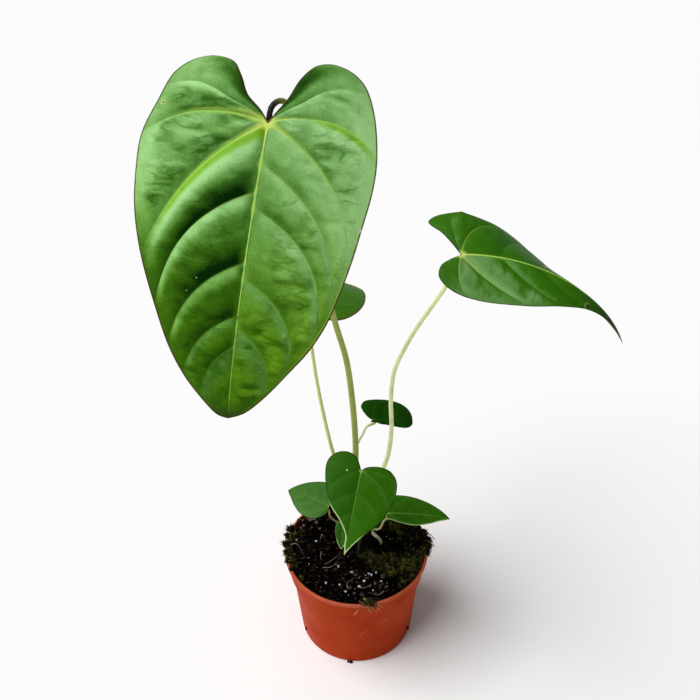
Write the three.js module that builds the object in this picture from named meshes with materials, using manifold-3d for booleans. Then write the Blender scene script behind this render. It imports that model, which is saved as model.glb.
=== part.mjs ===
// Potted anthurium: eight heart-shaped leaves on long stalks, rooted in a nursery pot of peat.
// Millimetres, Z up. The origin is the centre of the pot's underside. The largest leaf hangs
// towards -Y and the long-pointed one reaches towards +X.

import * as THREE from 'three';
import Module from 'manifold-3d';

const wasm = await Module();
wasm.setup();

const rad = THREE.MathUtils.degToRad;
const clamp = THREE.MathUtils.clamp;
const lerp = THREE.MathUtils.lerp;
const smoothstep = THREE.MathUtils.smoothstep;
const v3 = (x, y, z) => new THREE.Vector3(x, y, z);

// Clear space left between two pieces that touch on the real plant.
const CLEARANCE = 0.35;

// Nursery pot: 12 cm across its lip, with a collar round the top of a tapered cup.
const RIM_RADIUS = 60;
const POT_HEIGHT = 92;
const FOOT_RADIUS = 48.2;
const COLLAR_HEIGHT = 21;
const COLLAR_STEP = 1.6;
const LIP_WIDTH = 2.8;
const LIP_HEIGHT = 3.2;
const POT_WALL = 1.5;
const POT_FLOOR = 2;
const DRAIN_HOLES = 6;
const DRAIN_RADIUS = 4;
const DRAIN_RING_RADIUS = 31;
const POT_SIDES = 48;

// Peat: a crumbly top just under the lip, with a moss cushion on the right and a small one left.
const PEAT_LEVEL = 86.5;
const PEAT_CRUMB = 1.6;
const PEAT_SIDES = 36;
const PEAT_RINGS = 7;
const MOSS_CUSHIONS = [
  { x: 34, y: 6, spread: 17, height: 6 },
  { x: 26, y: 34, spread: 15, height: 5 },
  { x: 12, y: -34, spread: 15, height: 3 },
  { x: -47, y: 6, spread: 11, height: 5 },
];

// Rootstock: the short upright stem that the stalks spring from, with two stout aerial roots.
const ROOTSTOCK_FOOT = [9, 5, 62];
const ROOTSTOCK_TOP = [6, 5, 131];
const ROOTSTOCK_RADIUS = 6.2;
const AERIAL_ROOTS = [
  { path: [[11, 5, 108], [15, 3, 104], [20, 4, 96], [24, 5, 76]], radius: 1.5 },
  { path: [[6, 3, 110], [3, -3, 104], [2, -5, 96], [2, -5, 76]], radius: 1.3 },
];

const BLADE_THICKNESS = 0.9;

// One half of a young blade's edge, from the stalk round the lobe to the tip, as fractions of
// half width (first number) and of length (second number, which is the lobe's below zero).
const YOUNG_EDGE = [
  [0, 0], [0.1, -0.45], [0.26, -0.85], [0.5, -1], [0.78, -0.72], [0.96, -0.05],
  [1, 0.2], [0.9, 0.42], [0.66, 0.65], [0.38, 0.83], [0.16, 0.94], [0, 1],
];
const YOUNG_CROWN = 3;
const YOUNG_VEINS = [[-0.45, 5], [0, 7], [0.28, 8], [0.52, 9]];

// Each half of a blade is a list of edge points in its flat plane: distance from the midrib and
// distance from the stalk towards the tip. `crown` is the point at the top of the lobe, and
// `veins` pairs a place on the midrib (below zero: in the lobe) with the edge point it runs to.
// `bows`, where a half has its own, pairs such places with how far rows bow beside their chord.
function youngHalf(length, width, lobe) {
  return {
    edge: YOUNG_EDGE.map(([x, y]) => [x * width, y * (y < 0 ? lobe : length)]),
    crown: YOUNG_CROWN,
    veins: YOUNG_VEINS,
  };
}

// Leaves. `at` is where stalk and blade meet. The blade points along `azimuth`, `pitch` below
// level, with its right side raised by `roll`. It bends down by `bend` over its length and by
// `hook` more near the tip, its lobes bend back by `back`, and its sides curve down by `droop`.
// `fold` raises each half from the midrib: left and right, at the stalk and at the tip.
// Angles are in degrees. `route` is the stalk's way from the rootstock to the blade.
const LEAVES = {
  large: {
    at: [-46, -55, 501], azimuth: -106, pitch: 48, roll: -10,
    length: 172, reach: 66, lobe: 40,
    bend: 30, hook: 12, back: 18, droop: 22, fold: [0, 0, 0, 0],
    pillow: 2.6, rollBack: 4, rib: 1.3,
    left: {
      edge: [
        [0, 0], [5.4, -6.4], [14.2, -14.5], [20.2, -26], [28, -36], [44.5, -38.4], [59.5, -26.8],
        [66.8, -5.6], [73.4, 14.9], [73, 37.6], [69.8, 59.1], [61.7, 83.6], [48.8, 111.4],
        [38.6, 132], [28, 148], [16.2, 161.4], [7, 170.3], [0, 172],
      ],
      crown: 5,
      bows: [[-1, 0], [-0.5, 0.12], [0, 0.09], [0.225, 0.16], [0.45, 0.14], [1, 0.13]],
      veins: [[-0.5, 8], [0, 11], [0.225, 12], [0.45, 13], [0.62, 14], [0.72, 15]],
    },
    right: {
      edge: [
        [0, 0], [3.3, -6.3], [8.1, -15.8], [12.7, -29.6], [20.3, -40.8], [32.6, -44.2],
        [47, -35.4], [56.3, -17], [62, 7.1], [62.8, 26.3], [60.4, 48], [57.2, 70.7],
        [50.8, 99.5], [42.6, 119.5], [31.2, 137.2], [20, 153.6], [9.6, 166], [0, 172],
      ],
      crown: 5,
      bows: [[-1, 0], [-0.5, 0.15], [0, 0.135], [0.135, 0.155], [0.275, 0.2], [1, 0.16]],
      veins: [[-0.5, 8], [0, 11], [0.135, 12], [0.275, 13], [0.5, 14], [0.66, 15]],
    },
    rows: [
      0.07, 0.135, 0.18, 0.225, 0.275, 0.35, 0.4, 0.45, 0.5, 0.56, 0.62, 0.66, 0.72, 0.8, 0.88,
      0.94, 1,
    ],
    columns: [0, 0.05, 0.18, 0.34, 0.52, 0.7, 0.86, 0.94, 1],
    stalk: {
      route: [
        [5, 4, 128], [2, 4, 150], [0, 4, 178], [0, 4, 208], [-2, 0, 252], [-6, -6, 297],
        [-14, -14, 340], [-22, -23, 390], [-29, -32, 440], [-33, -37, 474], [-34.5, -38, 494],
        [-37, -40.5, 505.5], [-41, -44.5, 508], [-44.5, -49, 506],
      ],
      over: true,
      foot: 2.7, middle: 2.3, neck: 1.6, knuckle: 1.9,
    },
  },
  pointed: {
    at: [70, 0, 380.5], azimuth: -7, pitch: -5, roll: -7,
    length: 135, reach: 44, lobe: 22,
    bend: 62, hook: 12, back: 0, droop: 13, fold: [-19, 32, -27, -51],
    pillow: 1.4, rollBack: 1, rib: 1,
    left: {
      edge: [
        [0, 0], [3, -7], [8, -13], [17, -14], [27, -8], [35, 4], [37, 25], [31.5, 52],
        [20, 76], [10, 94], [4, 110], [1.3, 126], [0, 135],
      ],
      crown: 3,
      veins: [[-0.5, 5], [0, 7], [0.2, 8], [0.4, 9]],
    },
    right: {
      edge: [
        [0, 0], [5, -3], [12, -7.5], [20, -13.5], [26.5, -20.5], [31, -22.5], [35, -17],
        [36.5, -6], [38.5, 10], [41, 27], [38, 48], [28, 72], [15, 93], [6, 110],
        [1.8, 126], [0, 135],
      ],
      crown: 5,
      veins: [[-0.5, 7], [0, 9], [0.2, 10], [0.4, 11]],
    },
    rows: [0.1, 0.2, 0.3, 0.4, 0.5, 0.6, 0.7, 0.8, 0.9, 1],
    columns: [0, 0.07, 0.25, 0.45, 0.65, 0.85, 1],
    stalk: {
      route: [
        [9, 6, 126], [14, 5, 148], [19, 3, 172], [25, 0, 199], [27, -2, 228], [26, -3, 258],
        [28, -3, 285], [35, -3, 306], [43, -3, 324], [51, -2, 338], [61, -1, 356],
        [67, 0, 370],
      ],
      foot: 2.1, middle: 1.75, neck: 1.4, knuckle: 1.7,
    },
  },
  shaded: {
    at: [-30, 25, 327], azimuth: 57, pitch: 5, roll: 1,
    length: 64, reach: 31, lobe: 12,
    bend: 28, hook: 15, back: 0, droop: 12, fold: [0, 0, 0, 0],
    pillow: 0.8, rollBack: 0, rib: 0.6,
    left: youngHalf(64, 31, 12),
    right: youngHalf(64, 24.5, 5),
    rows: [0.14, 0.28, 0.4, 0.52, 0.66, 0.8, 0.9, 1],
    columns: [0, 0.1, 0.4, 0.7, 1],
    stalk: {
      route: [
        [4, 7, 122], [-4, 9, 141], [-12, 11, 171], [-18, 13, 191], [-24, 17, 224],
        [-27, 19, 244], [-30, 21, 270], [-32, 23.5, 296], [-31.5, 24.5, 315],
      ],
      foot: 1.8, middle: 1.5, neck: 1.2, knuckle: 1.45,
    },
  },
  back: {
    at: [13.3, 30, 208.3], azimuth: 3, pitch: 0, roll: 6,
    length: 33, reach: 24, lobe: 8,
    bend: 14, hook: 10, back: 0, droop: 10, fold: [0, 0, 0, 0],
    pillow: 0.5, rollBack: 0, rib: 0.4,
    left: {
      edge: [
        [0, 0], [1.2, -0.8], [2.4, 0.4], [3.4, 4.8], [5, 10.9], [6.9, 18], [7.6, 25.6],
        [5.8, 30], [2.8, 32.4], [0, 33],
      ],
      crown: 1,
      veins: [[-0.45, 2], [0, 4], [0.28, 5], [0.52, 6]],
    },
    right: {
      edge: [
        [0, 0], [3.8, -3.3], [11, -6.6], [17.6, -7.5], [22.8, -3.4], [23.7, 7.7], [22.3, 17.7],
        [18.8, 25.7], [13.2, 31], [6.6, 33.2], [0, 33],
      ],
      crown: 3,
      veins: [[-0.45, 4], [0, 5], [0.28, 6], [0.52, 7]],
    },
    rows: [0.14, 0.28, 0.4, 0.52, 0.7, 0.86, 1],
    columns: [0, 0.12, 0.5, 0.8, 1],
    stalk: {
      route: [
        [6, 8, 118], [3, 15, 134], [0, 20, 158], [1, 26, 183], [6, 28, 195], [9.5, 29.5, 202],
      ],
      foot: 1.2, middle: 1, neck: 0.9, knuckle: 1.1,
    },
  },
  front: {
    at: [4.1, -14, 196.3], azimuth: -105.4, pitch: 35.8, roll: -7.8,
    length: 64.7, reach: 30, lobe: 13,
    bend: 12, hook: 0, back: 11, droop: 22, fold: [6, 0, 2, 2],
    pillow: 0.9, rollBack: 0.5, rib: 0.6,
    left: {
      edge: [
        [0, 0], [3, -5.8], [6.5, -10.4], [13.6, -12.9], [21.9, -10.4], [27.2, -2.9], [26.9, 7.7],
        [22.8, 20.5], [17.4, 30.8], [8.6, 40], [2.2, 49.5], [1.2, 57], [0, 64.7],
      ],
      crown: 3,
      veins: YOUNG_VEINS,
    },
    right: {
      edge: [
        [0, 0], [3.5, -3.2], [8.9, -5.1], [15.1, -6], [22.4, -4.5], [28.7, 2.3], [30.1, 13],
        [26.7, 26], [21, 37.1], [11.1, 48], [4, 57.5], [0, 64.7],
      ],
      crown: 3,
      veins: YOUNG_VEINS,
    },
    rows: [0.14, 0.28, 0.4, 0.52, 0.66, 0.78, 0.9, 1],
    columns: [0, 0.1, 0.35, 0.6, 0.82, 1],
    stalk: {
      route: [[9, 2, 122], [13, -3, 138], [13, -7, 160], [10, -10, 178], [8, -11, 188]],
      foot: 1.5, middle: 1.2, neck: 1, knuckle: 1.25,
    },
  },
  left: {
    at: [-21.8, 0, 142.2], azimuth: 152, pitch: -9, roll: -9,
    length: 39.6, reach: 22, lobe: 5,
    bend: 20, hook: 12, back: 0, droop: 16, fold: [0, 0, 0, 0],
    pillow: 0.5, rollBack: 0, rib: 0.4,
    left: youngHalf(39.6, 22, 5),
    right: {
      edge: [
        [0, 0], [1.6, -1], [4, -1.6], [7.2, -0.8], [11, 1.2], [14.2, 4], [16.6, 9.9],
        [16.2, 18.1], [11.5, 26.5], [6.1, 32.9], [2.5, 37.1], [0, 39.6],
      ],
      crown: 3,
      veins: YOUNG_VEINS,
    },
    rows: [0.14, 0.28, 0.4, 0.52, 0.7, 0.86, 1],
    columns: [0, 0.12, 0.5, 0.8, 1],
    stalk: {
      route: [
        [2, 4, 119], [-5, 2, 117.5], [-12, 0.5, 120.5], [-18.2, 0, 125.7], [-21.4, 0, 130.5],
        [-21.8, 0, 136],
      ],
      foot: 1.1, middle: 0.9, neck: 0.8, knuckle: 1,
    },
  },
  right: {
    at: [26.2, 5, 127.4], azimuth: -4, pitch: -4, roll: 8,
    length: 51.8, reach: 20, lobe: 3,
    bend: 18, hook: 8, back: 0, droop: 14, fold: [0, 0, 0, 0],
    pillow: 0.5, rollBack: 0, rib: 0.4,
    left: {
      edge: [
        [0, 0], [1, -1], [2.2, -1.6], [3.6, -1.4], [5, 0], [6.4, 4], [9, 12], [10.3, 22.8],
        [7.8, 34], [3.9, 42.9], [1.6, 48.7], [0, 51.8],
      ],
      crown: 3,
      veins: YOUNG_VEINS,
    },
    right: youngHalf(51.8, 20, 3),
    rows: [0.14, 0.28, 0.4, 0.52, 0.7, 0.86, 1],
    columns: [0, 0.12, 0.5, 0.8, 1],
    stalk: {
      route: [[10, 5, 112], [16, 4, 109], [20, 3, 112], [23, 4, 120]],
      foot: 1.2, middle: 1, neck: 0.9, knuckle: 1.1,
    },
  },
  newest: {
    at: [-11, -8, 129], azimuth: -95, pitch: 50, roll: -10,
    length: 21, reach: 6, lobe: 2,
    bend: 20, hook: 0, back: 0, droop: 10, fold: [20, 20, 20, 20],
    pillow: 0, rollBack: 0, rib: 0.3,
    left: youngHalf(21, 6, 2),
    right: youngHalf(21, 6, 2),
    rows: [0.2, 0.4, 0.6, 0.8, 1],
    columns: [0, 0.3, 1],
    stalk: {
      route: [[5, 3, 112], [-1, -0.5, 113], [-6, -3.5, 117], [-10, -7, 125]],
      foot: 1.1, middle: 0.9, neck: 0.8, knuckle: 0.95,
    },
  },
};

const LOBE_ROWS = [-1, -0.85, -0.7, -0.5, -0.33, -0.16, 0];

const FINISH = {
  terracotta: { color: '#a3482b', roughness: 0.62, metalness: 0 },
  peat: { color: '#1d1610', roughness: 0.95, metalness: 0 },
  rootstock: { color: '#7d8a4a', roughness: 0.75, metalness: 0 },
  stalkOlive: { color: '#85913f', roughness: 0.55, metalness: 0 },
  stalkPale: { color: '#b9c873', roughness: 0.55, metalness: 0 },
  leafLight: { color: '#4d8a3b', roughness: 0.42, metalness: 0 },
  leafDeep: { color: '#2f6414', roughness: 0.4, metalness: 0 },
};

const plant = new THREE.Group();

function addPiece(name, geometry, finish) {
  const mesh = new THREE.Mesh(geometry, new THREE.MeshStandardMaterial(FINISH[finish]));
  mesh.name = name;
  plant.add(mesh);
  return mesh;
}

function indexedGeometry(points, triangles) {
  const geometry = new THREE.BufferGeometry();
  const positions = points.flatMap((p) => [p.x, p.y, p.z]);
  geometry.setAttribute('position', new THREE.Float32BufferAttribute(positions, 3));
  geometry.setIndex(triangles.flat());
  return geometry;
}

// Solids for cutting and joining.
function solid(geometry) {
  return new wasm.Manifold(new wasm.Mesh({
    numProp: 3,
    vertProperties: new Float32Array(geometry.attributes.position.array),
    triVerts: new Uint32Array(geometry.index.array),
  }));
}

function fromSolid(shape) {
  const mesh = shape.getMesh();
  const geometry = new THREE.BufferGeometry();
  const stride = mesh.numProp;
  const positions = [];
  for (let i = 0; i < mesh.vertProperties.length; i += stride) {
    positions.push(mesh.vertProperties[i], mesh.vertProperties[i + 1], mesh.vertProperties[i + 2]);
  }
  geometry.setAttribute('position', new THREE.Float32BufferAttribute(positions, 3));
  geometry.setIndex(Array.from(mesh.triVerts));
  return geometry;
}

// A body of revolution about Z from an outline of [radius, height] that starts and ends on the axis.
function turned(outline, sides) {
  const points = [];
  const triangles = [];
  const last = outline.length - 1;
  const first = points.push(v3(0, 0, outline[0][1])) - 1;
  for (let i = 1; i < last; i += 1) {
    for (let s = 0; s < sides; s += 1) {
      const a = (2 * Math.PI * s) / sides;
      points.push(v3(outline[i][0] * Math.cos(a), outline[i][0] * Math.sin(a), outline[i][1]));
    }
  }
  const end = points.push(v3(0, 0, outline[last][1])) - 1;
  const at = (i, s) => 1 + (i - 1) * sides + (s % sides);
  for (let s = 0; s < sides; s += 1) {
    triangles.push([first, at(1, s + 1), at(1, s)]);
    for (let i = 1; i < last - 1; i += 1) {
      triangles.push([at(i, s), at(i, s + 1), at(i + 1, s + 1)]);
      triangles.push([at(i, s), at(i + 1, s + 1), at(i + 1, s)]);
    }
    triangles.push([end, at(last - 1, s), at(last - 1, s + 1)]);
  }
  return indexedGeometry(points, triangles);
}

// A round rod along a smooth route, closed at both ends; `radiusAt` gives its radius from 0 to 1.
function rod(route, radiusAt, steps, sides) {
  const curve = new THREE.CatmullRomCurve3(route, false, 'centripetal');
  const frames = curve.computeFrenetFrames(steps, false);
  const points = [];
  const triangles = [];
  for (let i = 0; i <= steps; i += 1) {
    const centre = curve.getPointAt(i / steps);
    const radius = radiusAt(i / steps);
    for (let s = 0; s < sides; s += 1) {
      const a = (2 * Math.PI * s) / sides;
      points.push(centre.clone()
        .addScaledVector(frames.normals[i], radius * Math.cos(a))
        .addScaledVector(frames.binormals[i], radius * Math.sin(a)));
    }
  }
  const foot = points.push(curve.getPointAt(0)) - 1;
  const head = points.push(curve.getPointAt(1)) - 1;
  const at = (i, s) => i * sides + (s % sides);
  for (let s = 0; s < sides; s += 1) {
    triangles.push([foot, at(0, s + 1), at(0, s)]);
    triangles.push([head, at(steps, s), at(steps, s + 1)]);
    for (let i = 0; i < steps; i += 1) {
      triangles.push([at(i, s), at(i, s + 1), at(i + 1, s + 1)]);
      triangles.push([at(i, s), at(i + 1, s + 1), at(i + 1, s)]);
    }
  }
  return indexedGeometry(points, triangles);
}

// The blade's own directions at the stalk: along the midrib, to its right side, and out of its
// upper face.
function bladeAxes(leaf) {
  const [azimuth, pitch, roll] = [leaf.azimuth, leaf.pitch, leaf.roll].map(rad);
  const along = v3(
    Math.cos(azimuth) * Math.cos(pitch), Math.sin(azimuth) * Math.cos(pitch), -Math.sin(pitch));
  const upward = v3(
    Math.cos(azimuth) * Math.sin(pitch), Math.sin(azimuth) * Math.sin(pitch), Math.cos(pitch));
  const level = upward.clone().cross(along);
  const side = level.clone().multiplyScalar(Math.cos(roll)).addScaledVector(upward, Math.sin(roll));
  const face = upward.clone().multiplyScalar(Math.cos(roll)).addScaledVector(level, -Math.sin(roll));
  return { along, side, face };
}

// How far the midrib has turned down at distance y from the stalk, in radians.
function midribTurn(leaf, y) {
  const t = y / leaf.length;
  if (t >= 0) return rad(leaf.bend * t + leaf.hook * t ** 6);
  return -rad(leaf.back * (-y / leaf.lobe));
}

// Bends a point of the flat blade into place: x across, y along the midrib, h above the face.
function bladePoint(leaf, axes, x, y, h) {
  const steps = 24;
  let forward = 0;
  let down = 0;
  for (let i = 0; i < steps; i += 1) {
    const turn = midribTurn(leaf, (y * (i + 0.5)) / steps);
    forward += (Math.cos(turn) * y) / steps;
    down += (Math.sin(turn) * y) / steps;
  }
  const turn = midribTurn(leaf, y);
  const face = axes.face.clone().multiplyScalar(Math.cos(turn))
    .addScaledVector(axes.along, Math.sin(turn));
  const towardsTip = clamp(y / leaf.length, 0, 1) ** 0.8;
  const isLeft = x < 0 ? 0 : 1;
  const fold = rad(lerp(leaf.fold[isLeft], leaf.fold[isLeft + 2], towardsTip));
  const curl = Math.max(rad(leaf.droop) * Math.abs(x / leaf.reach), 1e-6);
  const across = (Math.abs(x) * Math.sin(curl)) / curl;
  const sag = (Math.abs(x) * (1 - Math.cos(curl))) / curl;
  const sideways = Math.sign(x) * (across * Math.cos(fold) + sag * Math.sin(fold));
  const raised = across * Math.sin(fold) - sag * Math.cos(fold);
  return v3(...leaf.at)
    .addScaledVector(axes.along, forward)
    .addScaledVector(axes.face, -down)
    .addScaledVector(axes.side, sideways)
    .addScaledVector(face, raised + h);
}

// Value at a row of a list that pairs rows with values.
function valueAt(stops, row) {
  const next = Math.max(stops.findIndex(([r]) => r >= row), 1);
  const [r0, v0] = stops[next - 1];
  const [r1, v1] = stops[next];
  return lerp(v0, v1, (row - r0) / (r1 - r0));
}

// Edge point that a row of the blade runs to: rows 0 to 1 start on the midrib, rows -1 to 0 fan
// out of the stalk into the lobe, and the veins' rows end on the edge points that they name.
function edgeIndexOf(half, row) {
  return valueAt([[-1, half.crown], ...half.veins, [1, half.edge.length - 1]], row);
}

// Flat place of a point on a row: 0 at the midrib or stalk, 1 on the edge. Rows bow out like
// the veins, by a share of their chord, and the row at -1 is the edge of the gap between lobes.
const VEIN_BOWS = [[-1, 0], [0, 0.13], [1, 0.13]];

function rowPoint(leaf, half, spline, row, t) {
  const last = half.edge.length - 1;
  const end = spline.getPoint(edgeIndexOf(half, row) / last);
  const start = new THREE.Vector2(0, Math.max(row, 0) * leaf.length);
  const chord = end.clone().sub(start);
  const point = start.clone().addScaledVector(chord, t);
  const bow = valueAt(half.bows ?? VEIN_BOWS, row) * 4 * t * (1 - t);
  point.add(new THREE.Vector2(chord.y, -chord.x).multiplyScalar(bow));
  if (row < 0) {
    const gapEdge = spline.getPoint((half.crown * t) / last);
    const crown = spline.getPoint(half.crown / last);
    point.addScaledVector(gapEdge.addScaledVector(crown, -t), row * row);
  }
  return point;
}

// Relief of the upper face: pillowed between the veins, which lie in grooves, with a groove
// along the edge and the strip beside the gap between the lobes rolled back.
function relief(leaf, half, row, t) {
  const stops = [-1, ...half.veins.map(([r]) => r), 1];
  const next = Math.max(stops.findIndex((r) => r >= row), 1);
  const between = (row - stops[next - 1]) / (stops[next] - stops[next - 1]);
  const swell = Math.sin(Math.PI * between) ** 0.8;
  const body = smoothstep(t, 0, 0.22) * (1 - smoothstep(t, 0.8, 0.94));
  const rolled = clamp((-0.6 - row) / 0.4, 0, 1) ** 2 * t;
  return leaf.pillow * swell * body - leaf.rollBack * rolled;
}

// A blade: both halves' rows from midrib to edge, with the same triangles on both faces and a
// raised midrib below.
function bladeGeometry(leaf) {
  const axes = bladeAxes(leaf);
  const rows = [...LOBE_ROWS, ...leaf.rows];
  const points = [];
  const ribs = [];
  const triangles = [];
  const shared = new Map();
  const vertex = (key, x, y, h, rib) => {
    if (!shared.has(key)) {
      shared.set(key, points.push(bladePoint(leaf, axes, x, y, h)) - 1);
      ribs.push(rib);
    }
    return shared.get(key);
  };
  for (const [name, sign] of [['left', -1], ['right', 1]]) {
    const half = leaf[name];
    const spline = new THREE.SplineCurve(half.edge.map(([x, y]) => new THREE.Vector2(x, y)));
    const grid = rows.map((row) => leaf.columns.map((t) => {
      const flat = rowPoint(leaf, half, spline, row, t);
      if (row === 1) return vertex('tip', 0, leaf.length, 0, 0);
      if (t === 0) return vertex(`midrib ${Math.max(row, 0)}`, 0, flat.y, 0, 1 - Math.max(row, 0));
      return vertex(`${name} ${row} ${t}`, sign * flat.x, flat.y, relief(leaf, half, row, t), 0);
    }));
    for (let r = 0; r + 1 < rows.length; r += 1) {
      for (let c = 0; c + 1 < leaf.columns.length; c += 1) {
        const [a, b, d, e] = [grid[r][c], grid[r + 1][c], grid[r + 1][c + 1], grid[r][c + 1]];
        for (const corner of [[a, b, d], [a, d, e]]) {
          if (new Set(corner).size === 3) triangles.push(sign > 0 ? corner : corner.reverse());
        }
      }
    }
  }
  const normals = points.map(() => v3(0, 0, 0));
  for (const [a, b, c] of triangles) {
    const normal = points[b].clone().sub(points[a]).cross(points[c].clone().sub(points[a]));
    for (const i of [a, b, c]) normals[i].add(normal);
  }
  normals.forEach((n) => n.normalize());
  const count = points.length;
  const upper = points.map((p, i) => p.clone().addScaledVector(normals[i], BLADE_THICKNESS / 2));
  const lower = points.map((p, i) => p.clone()
    .addScaledVector(normals[i], -BLADE_THICKNESS / 2 - leaf.rib * ribs[i]));
  const faces = triangles.flatMap(([a, b, c]) => [[a, b, c], [a + count, c + count, b + count]]);
  const edges = new Set(triangles.flatMap(([a, b, c]) => [`${a} ${b}`, `${b} ${c}`, `${c} ${a}`]));
  for (const edge of edges) {
    const [a, b] = edge.split(' ').map(Number);
    if (!edges.has(`${b} ${a}`)) faces.push([a, a + count, b + count], [a, b + count, b]);
  }
  return indexedGeometry([...upper, ...lower], faces);
}

// Where a stalk's end cap lies, just under the blade beside the gap between its lobes.
const STALK_INSET = 2.2;

// Most stalks come up from below; one that comes `over` the lobes runs on beneath the midrib.
function stalkEnd(leaf) {
  const axes = bladeAxes(leaf);
  const { over, knuckle } = leaf.stalk;
  const below = BLADE_THICKNESS / 2 + leaf.rib + CLEARANCE + (over ? knuckle : 0);
  const end = bladePoint(leaf, axes, 0, STALK_INSET * knuckle, -below);
  const approach = over
    ? end.clone().addScaledVector(axes.along, -1.6 * knuckle)
    : end.clone().addScaledVector(axes.face, -2.4 * knuckle);
  return [approach, end];
}

// A stalk: stout at its foot, slimmer in the middle, with a thicker knuckle under the blade.
const KNUCKLE_LENGTH = 9;

function stalkGeometry(leaf) {
  const { route, foot, middle, neck, knuckle } = leaf.stalk;
  const points = [...route.map((p) => v3(...p)), ...stalkEnd(leaf)];
  const length = new THREE.CatmullRomCurve3(points, false, 'centripetal').getLength();
  const radiusAt = (t) => {
    const toBlade = (1 - t) * length;
    const plain = t < 0.25 ? lerp(foot, middle, smoothstep(t, 0, 0.25))
      : lerp(middle, neck, (t - 0.25) / 0.75);
    return lerp(knuckle, plain, smoothstep(toBlade, KNUCKLE_LENGTH * 0.6, KNUCKLE_LENGTH));
  };
  const steps = clamp(Math.round(length / 14), 7, 26);
  return rod(points, radiusAt, steps, 8);
}

// Pot.
const collarFoot = POT_HEIGHT - COLLAR_HEIGHT;
const bodyTop = RIM_RADIUS - LIP_WIDTH - COLLAR_STEP - 1.6;
const collarRadius = RIM_RADIUS - LIP_WIDTH;
const potInside = [
  [collarRadius, POT_HEIGHT],
  [collarRadius - POT_WALL, POT_HEIGHT - LIP_HEIGHT],
  [collarRadius - POT_WALL - 0.8, collarFoot],
  [bodyTop - POT_WALL, collarFoot - 1],
  [FOOT_RADIUS - POT_WALL, POT_FLOOR],
];
const potOutline = [
  [0, 0],
  [FOOT_RADIUS - 1, 0],
  [FOOT_RADIUS, 1],
  [bodyTop, collarFoot - 1],
  [collarRadius - 0.8, collarFoot + 0.6],
  [collarRadius, POT_HEIGHT - LIP_HEIGHT],
  [RIM_RADIUS - 0.5, POT_HEIGHT - LIP_HEIGHT],
  [RIM_RADIUS, POT_HEIGHT - LIP_HEIGHT + 0.6],
  [RIM_RADIUS, POT_HEIGHT - 0.7],
  [RIM_RADIUS - 0.7, POT_HEIGHT],
  ...potInside,
  [0, POT_FLOOR],
];
let cup = solid(turned(potOutline, POT_SIDES));
for (let i = 0; i < DRAIN_HOLES; i += 1) {
  const a = (2 * Math.PI * (i + 0.5)) / DRAIN_HOLES;
  const drill = turned([[0, -1], [DRAIN_RADIUS, -1], [DRAIN_RADIUS, 4], [0, 4]], 12);
  drill.translate(DRAIN_RING_RADIUS * Math.cos(a), DRAIN_RING_RADIUS * Math.sin(a), 0);
  cup = cup.subtract(solid(drill));
}
addPiece('pot', fromSolid(cup), 'terracotta');

// Rootstock, with its aerial roots grown out of it. `extra` fattens it for cutting holes.
function rootstock(extra) {
  const route = [v3(...ROOTSTOCK_FOOT), v3(9, 5, 88), v3(8, 5, 108), v3(...ROOTSTOCK_TOP)];
  const girth = (t) => ROOTSTOCK_RADIUS * (1 - 0.28 * t * t + 0.05 * Math.sin(t * 26)) + extra;
  let shape = solid(rod(route, girth, 14, 10));
  for (const { path, radius } of AERIAL_ROOTS) {
    const root = rod(path.map((p) => v3(...p)), (t) => radius * (1 - 0.3 * t) + extra, 8, 7);
    shape = shape.add(solid(root));
  }
  return shape;
}
const stock = rootstock(0);
const stockSpace = rootstock(CLEARANCE);
addPiece('rootstock', fromSolid(stock), 'rootstock');

// Peat: fills the pot, crumbly on top, with a plain hole for the rootstock and its roots.
function crumb(x, y) {
  const wave = Math.sin(x * 12.9898 + y * 78.233) * 43758.5453;
  return wave - Math.floor(wave);
}

function peatHeight(x, y) {
  const moss = MOSS_CUSHIONS.reduce((sum, m) => {
    const away = Math.hypot(x - m.x, y - m.y) / m.spread;
    return sum + m.height * Math.exp(-away * away);
  }, 0);
  const dome = 2.2 * (1 - (x * x + y * y) / (RIM_RADIUS * RIM_RADIUS));
  return PEAT_LEVEL + dome + moss + PEAT_CRUMB * (crumb(x, y) - 0.5);
}

function peatGeometry() {
  const wall = potInside.map(([r, z]) => [r - CLEARANCE, z]).reverse();
  wall[0][1] += CLEARANCE;
  const side = [...wall.slice(0, 4), [wall[3][0] + 0.5, PEAT_LEVEL - 2]];
  const top = [];
  for (let ring = 0; ring < PEAT_RINGS; ring += 1) {
    top.push([side[4][0] * (1 - (ring + 0.35) / PEAT_RINGS), PEAT_LEVEL]);
  }
  const geometry = turned([[0, side[0][1]], ...side, ...top, [0, PEAT_LEVEL]], PEAT_SIDES);
  const position = geometry.attributes.position;
  for (let i = 0; i < position.count; i += 1) {
    if (position.getZ(i) >= PEAT_LEVEL) {
      position.setZ(i, peatHeight(position.getX(i), position.getY(i)));
    }
  }
  return geometry;
}
addPiece('peat', fromSolid(solid(peatGeometry()).subtract(stockSpace)), 'peat');

// Leaves: a stalk and a blade each. A stalk's foot is cut back to the rootstock it grows from.
for (const [name, leaf] of Object.entries(LEAVES)) {
  const stalk = solid(stalkGeometry(leaf)).subtract(stockSpace);
  const isPale = name !== 'large';
  addPiece(`stalk_${name}`, fromSolid(stalk), isPale ? 'stalkPale' : 'stalkOlive');
  addPiece(`blade_${name}`, bladeGeometry(leaf), isPale ? 'leafDeep' : 'leafLight');
}

export default plant;
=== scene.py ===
import math

import bpy
import numpy as np
from bpy.props import FloatProperty, FloatVectorProperty, IntProperty, PointerProperty
from mathutils import Matrix, Vector


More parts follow.
